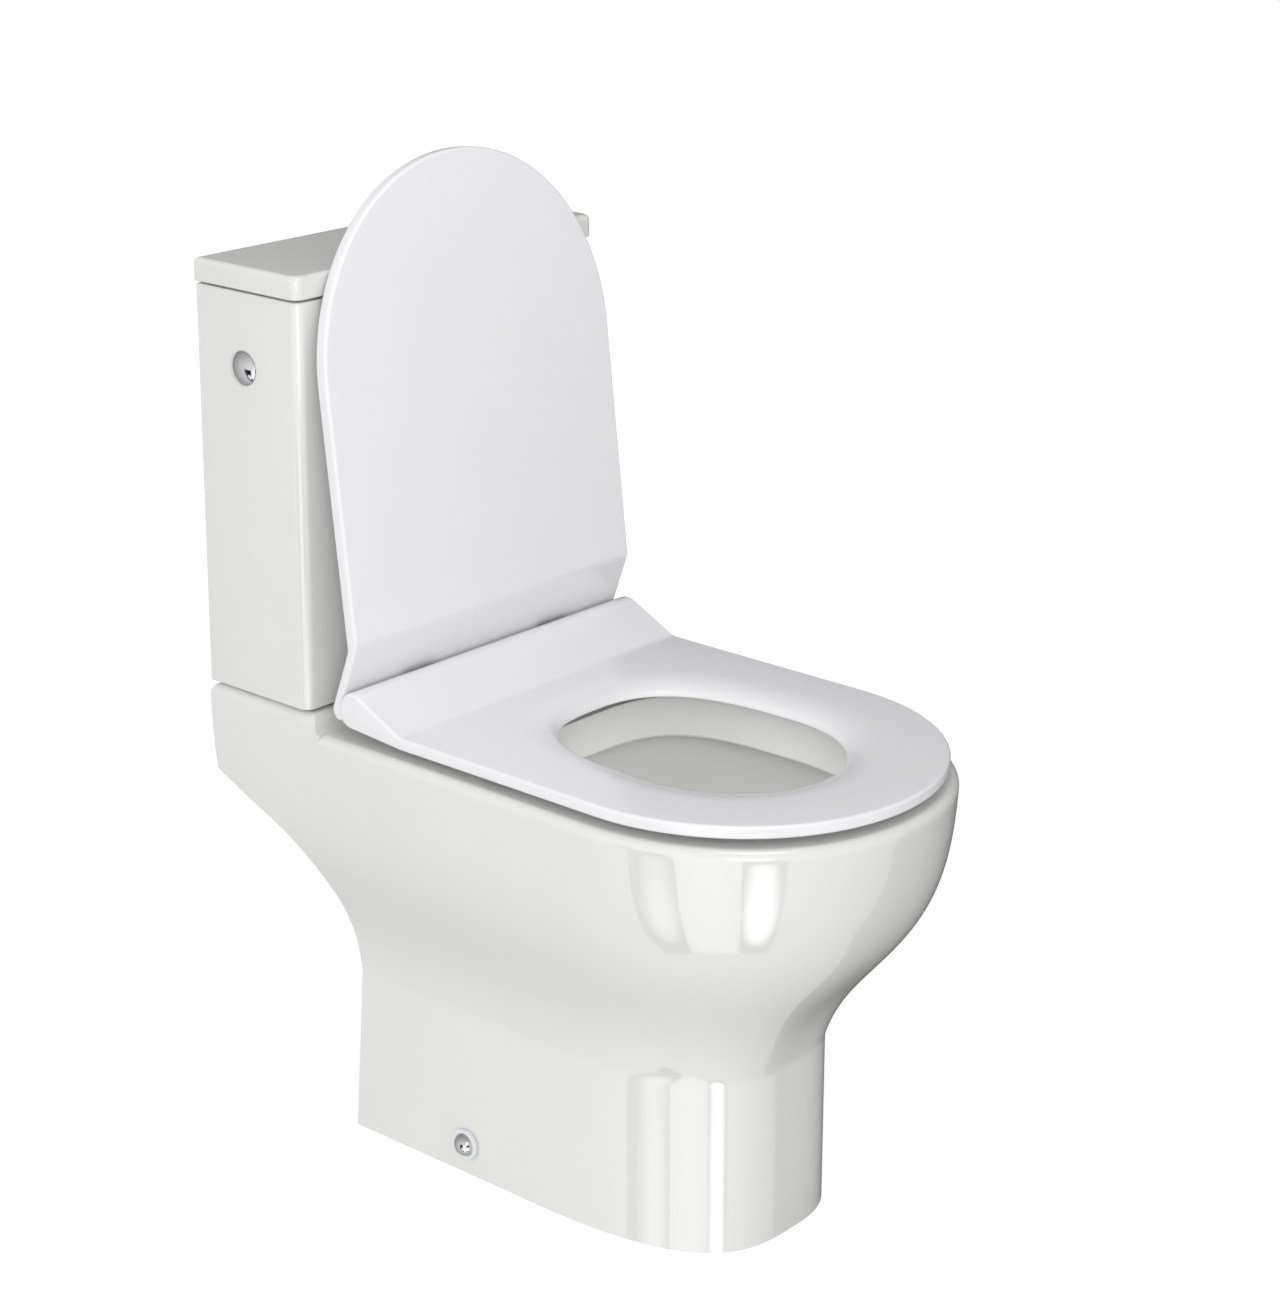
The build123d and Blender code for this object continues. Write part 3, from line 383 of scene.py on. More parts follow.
def nose_line(half_width, rear_half_width, rear_out, centre_out, front_out, fullness, z, steps):
    """An open plan from the right rear corner round the nose to the left rear corner."""
    side_steps, nose_steps = steps
    right = []
    for step in range(side_steps):
        share = step / side_steps
        out = blend(rear_out, centre_out, share)
        right.append((blend(rear_half_width, half_width, share), at(out), z))
    for step in range(nose_steps // 2):
        x, ahead = superellipse(half_width, front_out - centre_out, fullness, 180 * step / nose_steps)
        right.append((x, at(centre_out + ahead), z))
    left = [(-x, y, z) for x, y, z in reversed(right)]
    return right + [(0, at(front_out), z)] + left


def egg(half_width, rear_out, centre_out, front_out, fullness, z, rear_fullness, steps=144):
    """A closed plan rounded at both ends."""
    row = []
    for step in range(steps):
        angle = 360 * step / steps
        if angle < 180:
            x, ahead = superellipse(half_width, front_out - centre_out, fullness, angle)
        else:
            x, behind_centre = superellipse(half_width, centre_out - rear_out, rear_fullness, angle)
            ahead = -behind_centre
        row.append((x, at(centre_out + ahead), z))
    return row


# ---- pan
def s_curve(share):
    return 1 / (1 + math.exp(-flare_steepness * (share - flare_middle)))


def flare(height):
    """How far the pan's outside has spread from the foot's plan, 0, to the rim's plan, 1."""
    top = rim_height - rim_edge_radius
    share = min(1, max(0, (height - flare_start) / (top - flare_start)))
    return (s_curve(share) - s_curve(0)) / (s_curve(1) - s_curve(0))


def pan_line(height, inset, rear_out, z=None):
    """The pan's outside line at one height, drawn in by inset, from one rear corner to the other."""
    spread = flare(height)
    half_width = blend(foot_half_width, rim_half_width, spread)
    rear_half_width = blend(foot_rear_half_width, rim_rear_half_width, spread)
    centre_out = blend(foot_centre_out, rim_centre_out, spread)
    slope = (rear_half_width - half_width) / centre_out
    corner = half_width + slope * (centre_out - rear_out)
    return nose_line(half_width - inset, corner - inset, rear_out, centre_out,
                     blend(foot_length, pan_length, spread) - inset,
                     blend(foot_fullness, rim_fullness, spread), height if z is None else z, (40, 96))


def rear_line(height):
    """How far out from the wall the pan's rear edge is at one height."""
    lean = math.radians(undercut_angle)
    corner = back_edge_height - waist_rear_out / math.tan(lean)
    tangent = undercut_radius * math.tan(lean / 2)
    low, high = corner - tangent, corner + tangent * math.cos(lean)
    if height <= waist_height:
        return blend(foot_rear_out, waist_rear_out, height / waist_height)
    if height <= low:
        return waist_rear_out
    if height <= high:
        rise = height - low
        return waist_rear_out - undercut_radius + math.sqrt(undercut_radius ** 2 - rise ** 2)
    slant = waist_rear_out - (height - corner) * math.tan(lean)
    return max(0.0, slant)


def pan_shell():
    """The pedestal's and bowl's wall: outside, rounded rim, and inside, open behind and below."""
    edge = rim_edge_radius + deck_margin
    top = rim_height - rim_edge_radius
    heights = []
    height = 0.0
    while height < top:
        heights.append(height)
        height += pan_row_height
    heights.append(top)
    outer = [pan_line(height, 0, rear_line(height)) for height in heights]
    rounded = []
    for inset, up in arc_steps(rim_edge_radius, 8)[1:]:
        rounded.append(pan_line(top, inset, rim_rear_out, top + up))
    rounded.append(pan_line(top, edge, rim_rear_out, rim_height))
    inner_top = rim_height - deck_thickness
    closing = [pan_line(top, edge, rim_rear_out, inner_top)]
    low_heights = [height for height in reversed(heights) if height < inner_top]
    inner = [pan_line(height, china_wall, rear_line(height)) for height in low_heights]
    rows = outer + rounded + closing + inner
    points = [point for row in rows for point in row]
    count = len(rows[0])
    faces = grid_faces(rows)
    # floor edge, between the innermost and the first row
    last = (len(rows) - 1) * count
    for step in range(count - 1):
        faces.append((last + step, last + step + 1, step + 1, step))
    # the two rear ends, as strips between the outside and the inside at matching heights
    above = len(outer) + len(rounded) + len(closing)
    for corner in (0, count - 1):
        for index in range(len(inner) - 1):
            inside = above + len(inner) - 1 - index
            faces.append((index * count + corner, (index + 1) * count + corner,
                          (inside - 1) * count + corner, inside * count + corner))
        top_ring = [row * count + corner for row in range(len(inner) - 1, above + 1)]
        faces.append(tuple(top_ring))
    return mesh_of(points, faces)


def deck():
    """The flat top of the rim with its mouth and the lip that hangs below it."""
    edge = rim_edge_radius + deck_margin
    top = rim_height - rim_edge_radius
    under = rim_height - deck_thickness
    mouth_rows = []
    for inset, up in reversed(arc_steps(mouth_edge_radius, 6)):
        mouth_rows.append(mouth_plan(mouth_edge_radius - inset, rim_height - mouth_edge_radius + up))
    low = rim_height - lip_depth
    for inset, up in arc_steps(lip_lower_radius, 5):
        mouth_rows.append(mouth_plan(inset, low + lip_lower_radius - up))
    for inset, up in reversed(arc_steps(lip_lower_radius, 5)):
        mouth_rows.append(mouth_plan(lip_thickness - inset, low + lip_lower_radius - up))
    mouth_rows.append(mouth_plan(lip_thickness, under))
    skin = closed_skin(mouth_rows, capped=False)
    outline = pan_line(top, edge, rim_rear_out, rim_height)
    lower = pan_line(top, edge, rim_rear_out, under)
    side = mesh_of(outline + lower, grid_faces([outline, lower], around=True))
    upper_ring = ring_face(outline, mouth_rows[0])
    lower_ring = ring_face(lower, mouth_rows[-1])
    return sewn_up([skin, side, upper_ring, lower_ring])


def ring_face(outline, opening):
    """A flat face between an outline and an opening inside it."""
    mesh = bmesh.new()
    edges = []
    for row in (outline, opening):
        corners = [mesh.verts.new(Vector(point) * MM) for point in row]
        for step, corner in enumerate(corners):
            edges.append(mesh.edges.new((corner, corners[(step + 1) % len(corners)])))
    bmesh.ops.triangle_fill(mesh, use_beauty=True, use_dissolve=False, edges=edges)
    return mesh


def mouth_plan(grow, z):
    return egg(mouth_half_width + grow, mouth_rear_out - grow, mouth_centre_out, mouth_front_out + grow,
               rim_fullness, z, mouth_rear_fullness)


def shelf_block():
    """The raised shelf for the cistern, eased into the deck at its front."""
    top = rim_height + shelf_rise
    base = rim_height - rim_edge_radius
    rows = [shelf_row(0, 0, base)]
    for inset, up in arc_steps(shelf_foot_radius, 6):
        rows.append(shelf_row(0, shelf_foot_radius - up, rim_height + inset))
    for inset, up in arc_steps(shelf_edge_radius, 8):
        rows.append(shelf_row(inset, -inset, top - shelf_edge_radius + up))
    return closed_skin(rows)


def shelf_row(inset, flow, z):
    """One line round the shelf; flow is how far the front runs out into the deck."""
    slope = (rim_rear_half_width - rim_half_width) / rim_centre_out
    front_out = shelf_depth + flow
    rear_x = rim_rear_half_width - inset
    front_x = rim_rear_half_width - slope * front_out - inset
    corners = [(-rear_x, inset), (rear_x, inset), (front_x, front_out), (-front_x, front_out)]
    row = [(-rear_x, at(inset), z)]
    for index, (x, out) in enumerate(corners):
        next_x, next_out = corners[(index + 1) % 4]
        for step in range(1, shelf_steps + 1):
            share = step / shelf_steps
            row.append((blend(x, next_x, share), at(blend(out, next_out, share)), z))
    return row[:-1]


def bowl_row(rise, grow):
    """One line of the bowl's inner form, from the sump at rise 0 to the deck's underside at 1."""
    spread = math.sin(math.pi / 2 * rise)
    return egg(
        blend(sump_half_width, bowl_top_half_width, spread) + grow,
        blend(sump_rear_out, bowl_top_rear_out, spread) - grow,
        blend(sump_rear_out + sump_half_width, rim_centre_out, spread),
        blend(sump_front_out, bowl_top_front_out, spread) + grow,
        rim_fullness,
        blend(sump_height - grow, rim_height - deck_thickness, rise),
        egg_rear_fullness,
    )


def bowl_shell():
    """The bowl, with its wall, open at the top."""
    inner = [bowl_row(1 - step / bowl_steps, 0) for step in range(bowl_steps + 1)]
    outer = [bowl_row(step / bowl_steps, bowl_wall) for step in range(bowl_steps + 1)]
    inside = closed_skin(inner + drawn_together(inner[-1]), capped=False)
    outside = closed_skin(drawn_together(outer[0])[::-1] + outer, capped=False)
    rim = mesh_of(inner[0] + outer[-1], grid_faces([inner[0], outer[-1]], around=True))
    return sewn_up([inside, outside, rim])


def drawn_together(row):
    """Rows that close a bowl's floor towards its middle."""
    middle = sum((Vector(point) for point in row), Vector()) / len(row)
    rows = []
    for step in range(1, floor_steps + 1):
        rows.append([tuple(Vector(point).lerp(middle, step / floor_steps)) for point in row])
    return rows


def trap_line():
    """Centre line of the trap: down from the sump, up over the weir and back to the outlet."""
    radius = trap_bore / 2
    crest = weir_height + radius
    low = sump_height + radius * trap_start_share
    sump_out = sump_rear_out + sump_half_width
    corners = [
        (sump_out + trap_start, low, 0),
        (sump_out - trap_dip, low, trap_low_bend),
        (sump_rear_out - trap_rise, crest + trap_run, trap_low_bend),
        (sump_rear_out - trap_crest, crest + trap_run, trap_high_bend),
        (outlet_end_out + outlet_length + trap_run, outlet_height, trap_high_bend),
        (outlet_end_out + outlet_length - trap_end, outlet_height, 0),
    ]
    return rounded_line(corners)


def rounded_line(corners):
    """Points along a line of (out, height, corner radius) rows, with arcs at its corners."""
    line = []
    for index, (out, height, radius) in enumerate(corners):
        here = Vector((out, height))
        if radius == 0:
            line.append(here)
            continue
        back = (Vector(corners[index - 1][:2]) - here).normalized()
        ahead = (Vector(corners[index + 1][:2]) - here).normalized()
        half = back.angle(ahead) / 2
        reach = radius / math.tan(half)
        centre = here + (back + ahead).normalized() * radius / math.sin(half)
        start, end = here + back * reach - centre, here + ahead * reach - centre
        for step in range(9):
            turn = start.lerp(end, step / 8).normalized() * radius
            line.append(centre + turn)
    return line


def tube_rows(line, radius, steps=48):
    """Rings of points round a line in the middle plane."""
    rows = []
    for index, here in enumerate(line):
        before, after = line[max(index - 1, 0)], line[min(index + 1, len(line) - 1)]
        along = (after - before).normalized()
        across = Vector((-along.y, along.x))
        row = []
        for step in range(steps):
            angle = 2 * math.pi * step / steps
            side = radius * math.cos(angle)
            place = here + across * radius * math.sin(angle)
            row.append((side, at(place.x), place.y))
        rows.append(row)
    return rows


def pan_piece(material):
    """The china pan as one piece: shell, deck, shelf, bowl, trap and outlet."""
    bowl = new_object("bowl", bowl_shell())
    trap = trap_line()
    cut(bowl, new_object("bore", closed_skin(tube_rows(trap, trap_bore / 2))))
    outer = new_object("trap", closed_skin(tube_rows(trap, trap_bore / 2 + trap_wall)))
    middle = outlet_end_out + outlet_length - trap_wall
    cut(outer, new_object("spigot", closed_skin(spigot_rows())), "UNION")
    long_bore = [Vector((outlet_end_out - cut_reach, outlet_height)), Vector((middle, outlet_height))]
    cut(outer, new_object("bore", closed_skin(tube_rows(long_bore, outlet_bore / 2))))
    cut(outer, new_object("bore", closed_skin(tube_rows(trap, trap_bore / 2))))
    inside_bowl = [bowl_row(step / core_steps, bowl_wall / 2) for step in range(core_steps + 1)]
    cut(outer, new_object("inside", closed_skin(inside_bowl)))
    meshes = [pan_shell(), deck(), shelf_block(), duct_block(), taken_back(bowl), taken_back(outer)]
    piece = new_object("china_pan", joined(meshes))
    return finish_piece(piece, "toilet", ["pan"], material, 32)


def spigot_rows():
    """The outlet's outside, with a rolled edge at its open end."""
    rows = []
    for inset, up in reversed(arc_steps(outlet_edge_radius, 4)):
        out = outlet_end_out + outlet_edge_radius - up
        rows.append(ring_at(out, outlet_outside / 2 - inset))
    rows.append(ring_at(outlet_end_out + outlet_length, outlet_outside / 2))
    return rows


def ring_at(out, radius, steps=64):
    row = []
    for step in range(steps):
        angle = 2 * math.pi * step / steps
        row.append((radius * math.cos(angle), at(out), outlet_height + radius * math.sin(angle)))
    return row


def duct_block():
    """The flush water way below the deck, seen from behind and below."""
    half_width = duct_half_width + duct_wall
    start = inlet_out - inlet_bore / 2 - duct_wall
    end = bowl_top_rear_out + duct_wall
    top = rim_height - deck_thickness + duct_overlap
    low = rim_height - deck_thickness - duct_height - duct_wall
    rows = []
    for inset, up in reversed(arc_steps(duct_edge_radius, 5)):
        rows.append(box_row(half_width - inset, start + inset, end - inset, low + duct_edge_radius - up))
    rows.append(box_row(half_width, start, end, top))
    return closed_skin(rows)


def box_row(half_width, rear_out, front_out, z, radius=6.0, steps=6, rear_radius=None):
    """A rounded rectangle in plan; its two rear corners may have their own radius."""
    row = []
    rear_radius = rear_radius or radius
    corners = [(1, front_out, 0), (-1, front_out, 90), (-1, rear_out, 180), (1, rear_out, 270)]
    for side, out, start in corners:
        inward, turn = (-1, radius) if out == front_out else (1, rear_radius)
        centre = (side * (half_width - turn), out + inward * turn)
        for step in range(steps + 1):
            angle = math.radians(start + 90 * step / steps)
            row.append((centre[0] + turn * math.cos(angle), at(centre[1] + turn * math.sin(angle)), z))
    return row


# ---- seat and seat lid
def from_hinge(forward, up):
    return hinge_out + forward, hinge_height + up


def hinge_line(corners):
    """A rounded line through (forward, up, corner radius) rows taken from the hinge line."""
    return rounded_line([(*from_hinge(forward, up), radius) for forward, up, radius in corners])


def shifted_line(line, inset):
    """An open side outline drawn in by inset, with its two ends kept at their distance out."""
    moved = []
    for index, here in enumerate(line):
        before = (here - line[index - 1]).normalized() if index else None
        after = (line[index + 1] - here).normalized() if index < len(line) - 1 else None
        first = before or after
        second = after or before
        along = (first + second).normalized()
        reach = inset / max(along.dot(first), 0.5)
        step = Vector((-along.y, along.x)) * reach
        if before is None or after is None:
            step.x = 0
        moved.append(here + step)
    return moved


def end_rows(half_width, radius, steps=6):
    """Where the outlines of a bar stand across the toilet, and how far each is drawn in."""
    right = [(half_width - radius + up, inset) for inset, up in arc_steps(radius, steps)]
    return [(-x, inset) for x, inset in reversed(right)] + right


def bar(line, half_width, radius):
    """A closed bar across the toilet from an open side outline, with rounded ends."""
    rows = []
    for x, inset in end_rows(half_width, radius):
        rows.append([(x, at(place.x), place.y) for place in shifted_line(line, inset)])
    return closed_skin(rows)


def seat_bar_line():
    """Side outline of the barrel and ramp, from the flat top back over the barrel to the underside."""
    lean = math.radians(ramp_angle)
    top, under = seat_top - hinge_height, seat_underside - hinge_height
    ramp_end = (barrel_radius - top * math.cos(lean)) / math.sin(lean)
    ramp_back = (barrel_radius + barrel_radius * math.sin(lean)) / math.cos(lean)
    corners = [
        (seat_seam_out - hinge_out, top, 0),
        (ramp_end, top, ramp_foot_radius),
        (-barrel_radius, ramp_back, barrel_radius),
        (-barrel_radius, under + heel_height, barrel_radius - heel_radius),
        (ramp_end, under, heel_radius),
        (seat_seam_out - hinge_out, under, 0),
    ]
    return hinge_line(corners)


def seat_outline(inset, z):
    slope = (seat_rear_half_width - seat_half_width) / seat_centre_out
    corner = seat_half_width + slope * (seat_centre_out - seat_seam_out)
    return nose_line(seat_half_width - inset, corner - inset, seat_seam_out, seat_centre_out,
                     seat_length - inset, seat_fullness, z, (24, 120))


def rounded_edge(low, high, radius, steps=8):
    """Insets and heights of a plate's side with both of its edges rounded."""
    rows = [(inset, low + radius - up) for inset, up in reversed(arc_steps(radius, steps))]
    return rows + [(inset, high - radius + up) for inset, up in arc_steps(radius, steps)]


def hole_row(grow, z):
    return egg(hole_half_width + grow, hole_rear_out - grow, hole_centre_out, hole_front_out + grow,
               hole_fullness, z, hole_rear_fullness, 192)


def seat_flat():
    """The flat part of the seat: its outer edge, its soft roll round the hole and two flat faces."""
    edge = rounded_edge(seat_underside, seat_top, seat_edge_radius)
    side = [seat_outline(inset, z) for inset, z in edge]
    roll_foot = seat_underside + hole_lip
    roll = [hole_row(hole_lip, seat_underside), hole_row(0, roll_foot)]
    for inset, up in arc_steps(roll_width, 20, seat_top - roll_foot)[1:]:
        roll.append(hole_row(inset, roll_foot + up))
    return [closed_skin(side, capped=False), closed_skin(roll, capped=False),
            ring_face(side[-1], roll[-1]), ring_face(side[0], roll[0])]


def prism(corners, x_range):
    """A plain closed prism across the toilet from (forward, up) corners about the hinge line."""
    rows = []
    for x in x_range:
        places = [from_hinge(forward, up) for forward, up in corners]
        rows.append([(x, at(out), z) for out, z in places])
    return closed_skin(rows)


def circle(radius, steps=48, start=0.0, end=360.0):
    return [polar(radius, start + (end - start) * step / steps) for step in range(steps)]


def polar(radius, angle):
    return radius * math.cos(math.radians(angle)), radius * math.sin(math.radians(angle))


def seat_piece(material):
    """The moulded seat: flat ring, ramp and hinge barrel with its two slots."""
    barrel = new_object("barrel", bar(seat_bar_line(), seat_rear_half_width, seat_edge_radius))
    far = 2.5 * barrel_radius
    corner = polar(far, slot_start_angle)
    front = slot_radius + slot_margin
    opening = [(0, 0), corner, (-far, corner[1]), (-far, -far), (front, -far), (front, 0)]
    for side in (-1, 1):
        span = (side * slot_low_x, side * slot_high_x)
        cut(barrel, new_object("slot", prism(opening, span)))
        cut(barrel, new_object("slot", prism(circle(slot_radius), span)))
    seat = new_object("moulded_seat", sewn_up([taken_back(barrel)] + seat_flat()))
    return finish_piece(seat, "seat", ["seat_ring"], material, 30)


def lid_bar_line():
    """Side outline of the closed lid's rear part, from its inner face round the hollow to the outer."""
    inner = lid_underside - hinge_height
    outer = inner + lid_thickness
    seam = lid_seam_out - hinge_out
    heel = lid_rear_lip[0]
    front_corners = [(seam, inner, 0), (lid_foot_forward, inner, lid_foot_radius), (*lid_front_lip, 0)]
    rear_corners = [(*lid_rear_lip, 0), (heel, lid_heel_up, lid_heel_radius),
                    (*lid_crown, lid_crown_radius), (lid_shoulder_forward, outer, lid_foot_radius),
                    (seam, outer, 0)]
    start = math.degrees(math.atan2(*lid_front_lip[::-1]))
    end = math.degrees(math.atan2(*lid_rear_lip[::-1]))
    hollow = [Vector(from_hinge(*place)) for place in circle(lid_hollow_radius, 16, start, end)]
    return hinge_line(front_corners) + hollow[1:] + hinge_line(rear_corners)


def lid_outline(inset, z):
    return nose_line(lid_half_width - inset, lid_half_width - inset, lid_seam_out, seat_centre_out,
                     lid_length - inset, seat_fullness, z, (24, 120))


def lid_piece(material):
    """The moulded lid, made closed and then laid open about the hinge line."""
    rear = bar(list(reversed(lid_bar_line())), lid_half_width, lid_edge_radius)
    edge = rounded_edge(lid_underside, lid_underside + lid_thickness, lid_edge_radius)
    flat = closed_skin([lid_outline(inset, z) for inset, z in edge])
    meshes = [rear, flat]
    reach = lid_hollow_radius + lug_web_reach
    web = [polar(reach, lug_web_angles[0]), (0, 0), polar(reach, lug_web_angles[1])]
    for side in (-1, 1):
        span = (side * lug_low_x, side * lug_high_x)
        meshes += [prism(web, span), prism(circle(lug_radius), span)]
    whole = joined(meshes)
    bmesh.ops.recalc_face_normals(whole, faces=whole.faces)
    hinge = Vector((0, at(hinge_out), hinge_height)) * MM
    turn = Matrix.Rotation(math.radians(-lid_open_angle), 3, "X")
    bmesh.ops.rotate(whole, verts=whole.verts, cent=hinge, matrix=turn)
    lid = new_object("moulded_lid", whole)
    return finish_piece(lid, "lid", ["seat_lid"], material, 30)


# ---- cistern
def tank_half_width(z):
    return blend(tank_bottom_half_width, tank_top_half_width, (z - tank_bottom) / (tank_top - tank_bottom))


def cistern_row(half_width, rear_out, front_out, z, front_radius=cistern_front_radius):
    return box_row(half_width, rear_out, front_out, z, front_radius, 8, cistern_back_radius)


def bore(radius, middle, span, axis=2):
    """A closed cylinder for cutting, through middle, with a span along X, Y or Z (axis 0, 1 or 2)."""
    first, second = [index for index in range(3) if index != axis]
    rows = []
    for along in span:
        row = []
        for across, ahead in circle(radius):
            place = list(middle)
            place[axis] = along
            place[first] += across
            place[second] += ahead
            row.append(tuple(place))
        rows.append(row)
    return new_object("bore", closed_skin(rows))


def tank_piece(material):
    """The china tank: tapered, nearly sharp at the wall, rounded in front, hollow and open at the top."""
    rows = []
    for inset, z in rounded_edge(tank_bottom, tank_top, tank_edge_radius, 5):
        rows.append(cistern_row(tank_half_width(z) - inset, inset, tank_depth - inset, z))
    tank = new_object("china_tank", closed_skin(rows))
    low = tank_bottom + tank_floor
    inside = []
    for inset, up in reversed(arc_steps(tank_floor_radius, 6)):
        inside.append((tank_wall + inset, low + tank_floor_radius - up))
    inside.append((tank_wall, tank_top + cut_margin))
    rows = []
    for inset, z in inside:
        half_width = tank_half_width(z) - inset
        rows.append(cistern_row(half_width, inset, tank_depth - inset, z, tank_inner_radius))
    cut(tank, new_object("inside", closed_skin(rows)))
    through = (tank_bottom - cut_margin, low + cut_margin)
    cut(tank, bore(tank_valve_hole / 2, (0, at(inlet_out), 0), through))
    side_x = tank_half_width(side_inlet_height)
    outer_seat = tank_half_width(side_inlet_height + side_seat_radius) - seat_grinding
    inner_seat = tank_half_width(side_inlet_height - side_seat_radius) - tank_wall + seat_grinding
    beyond, within = side_x + bore_beyond, side_x - bore_within
    inlet = (0, at(side_inlet_out), side_inlet_height)
    wall = (at(-cut_reach), at(tank_wall + cut_reach))
    for side in (-1, 1):
        cut(tank, bore(coupling_hole / 2, (side * coupling_spacing / 2, at(inlet_out), 0), through))
        cut(tank, bore(side_inlet_hole / 2, inlet, (side * within, side * beyond), 0))
        cut(tank, bore(side_seat_radius, inlet, (side * outer_seat, side * beyond), 0))
        cut(tank, bore(side_seat_radius, inlet, (side * within, side * inner_seat), 0))
        screw = (side * wall_screw_spacing / 2, 0, wall_screw_height)
        cut(tank, bore(wall_screw_bore / 2, screw, wall, 1))
    return finish_piece(tank, "toilet", ["cistern_tank"], material, 35)


def cover_piece(material):
    """The cistern's lid: a tray with a frame below that drops inside the tank."""
    edge = cover_lower_edge
    outside = [(edge, cover_bottom), (0, cover_bottom + edge)]
    for inset, up in arc_steps(cover_edge_radius, 8):
        outside.append((inset, cover_top - cover_edge_radius + up))
    cover = inset_block("china_cover", cover_half_width, cover_depth, outside, cistern_front_radius)
    hollow = [(cover_border, z) for z in (cover_bottom - cut_margin, cover_top - cover_skin)]
    cut(cover, inset_block("hollow", cover_half_width, cover_depth, hollow, cover_inner_radius))
    low, high = tank_top - frame_drop, cover_top - cover_skin + cut_margin
    inset = tank_wall + frame_clearance
    outer = [(inset, low), (inset, high)]
    inner = [(inset + frame_wall, low - cut_margin), (inset + frame_wall, high + cut_margin)]
    frame_low = inset_block("frame", tank_top_half_width, tank_depth, outer, cover_inner_radius)
    cut(frame_low, inset_block("inner", tank_top_half_width, tank_depth, inner, cover_inner_radius))
    cut(cover, frame_low, "UNION")
    through = (cover_bottom - bore_within, cover_top + cut_margin)
    cut(cover, bore(button_hole / 2, (0, at(inlet_out), 0), through))
    return finish_piece(cover, "toilet", ["cistern_lid"], material, 35)


def inset_block(name, half_width, depth, profile, radius):
    """A block on the cistern's plan, drawn in by each (inset, height) of its profile."""
    rows = [cistern_row(half_width - inset, inset, depth - inset, z, radius) for inset, z in profile]
    return new_object(name, closed_skin(rows))


# ---- looks
def add_node(tree, kind, inputs=None, **settings):
    """A new node: its settings, then its inputs, each fed by a socket or set to a value."""
    made = tree.nodes.new(kind)
    for name, value in settings.items():
        setattr(made, name, value)
    for name, value in (inputs or {}).items():
        if isinstance(value, bpy.types.NodeSocket):
            tree.links.new(value, made.inputs[name])
        else:
            made.inputs[name].default_value = value
    return made


def node_material(name):
    material = bpy.data.materials.new(name)
    material.use_nodes = True
    tree = material.node_tree
    return material, tree, tree.nodes["Principled BSDF"]


def object_noise(tree, scale, detail=4.0):
    """Noise on the object's own coordinates; scale is in cycles per metre."""
    place = add_node(tree, "ShaderNodeTexCoord").outputs["Object"]
    noise = add_node(tree, "ShaderNodeTexNoise", {"Scale": scale, "Detail": detail, "Vector": place})
    return noise.outputs["Fac"]


def ramp_between(tree, value, low, high, low_at=0.0, high_at=1.0):
    inputs = {"Value": value, "From Min": low_at, "From Max": high_at, "To Min": low, "To Max": high}
    return add_node(tree, "ShaderNodeMapRange", inputs).outputs["Result"]


def tint(tree, value, dark, light):
    inputs = {"Factor": value, "A": (*dark, 1), "B": (*light, 1)}
    return add_node(tree, "ShaderNodeMix", inputs, data_type="RGBA").outputs["Result"]


def bumped(tree, shader, height, strength, distance):
    bump = add_node(tree, "ShaderNodeBump", {"Strength": strength, "Distance": distance, "Height": height})
    tree.links.new(bump.outputs["Normal"], shader.inputs["Normal"])


def surface(name, cloud_scale, dark, light, grain_scale, smooth, rough):
    """A material whose colour clouds between two tints and whose roughness varies a little."""
    material, tree, shader = node_material(name)
    colour = tint(tree, object_noise(tree, cloud_scale), dark, light)
    tree.links.new(colour, shader.inputs["Base Color"])
    roughness = ramp_between(tree, object_noise(tree, grain_scale), smooth, rough)
    tree.links.new(roughness, shader.inputs["Roughness"])
    return material, tree, shader


def glazed_china():
    light, dark = (0.73, 0.732, 0.715), (0.7, 0.705, 0.69)
    material, tree, shader = surface("glazed_china", 9, dark, light, 60, 0.05, 0.09)
    shader.inputs["IOR"].default_value = 1.52
    shader.inputs["Coat Weight"].default_value = 0.35
    shader.inputs["Coat Roughness"].default_value = 0.03
    bumped(tree, shader, object_noise(tree, 22, 2.0), 0.25, 0.0004)
    return material


def seat_moulding():
    light, dark = (0.81, 0.81, 0.82), (0.79, 0.79, 0.802)
    material, tree, shader = surface("seat_moulding", 14, dark, light, 40, 0.2, 0.24)
    shader.inputs["IOR"].default_value = 1.5
    bumped(tree, shader, object_noise(tree, 30, 2.0), 0.1, 0.0002)
    return material


def chrome_with_painted_dark_reflection():
    # Base colour is darker than real chrome: partly the plated metal, partly a painted dark reflection of
    # a dim room.
    light, dark = (0.44, 0.44, 0.445), (0.36, 0.365, 0.37)
    material, tree, shader = surface("chrome_with_painted_dark_reflection", 120, dark, light, 400, 0.04, 0.1)
    shader.inputs["Metallic"].default_value = 1.0
    return material


def zinc_steel():
    light, dark = (0.66, 0.66, 0.65), (0.5, 0.5, 0.5)
    material, tree, shader = surface("zinc_steel", 300, dark, light, 180, 0.25, 0.42)
    shader.inputs["Metallic"].default_value = 1.0
    bumped(tree, shader, object_noise(tree, 700), 0.2, 0.0001)
    return material


def black_rubber():
    light, dark = (0.05, 0.05, 0.052), (0.018, 0.018, 0.018)
    material, tree, shader = surface("black_rubber", 260, dark, light, 500, 0.55, 0.75)
    bumped(tree, shader, object_noise(tree, 1400), 0.4, 0.0001)
    return material


def valve_plastic():
    light, dark = (0.8, 0.81, 0.82), (0.7, 0.72, 0.74)
    material, tree, shader = surface("valve_plastic", 40, dark, light, 300, 0.32, 0.45)
    bumped(tree, shader, object_noise(tree, 1100), 0.25, 0.0001)
    return material


# ---- pieces kept from the frame
def dress(node, material):
    thing = frame["nodes"][node]
    thing.data.materials.clear()
    thing.data.materials.append(material)


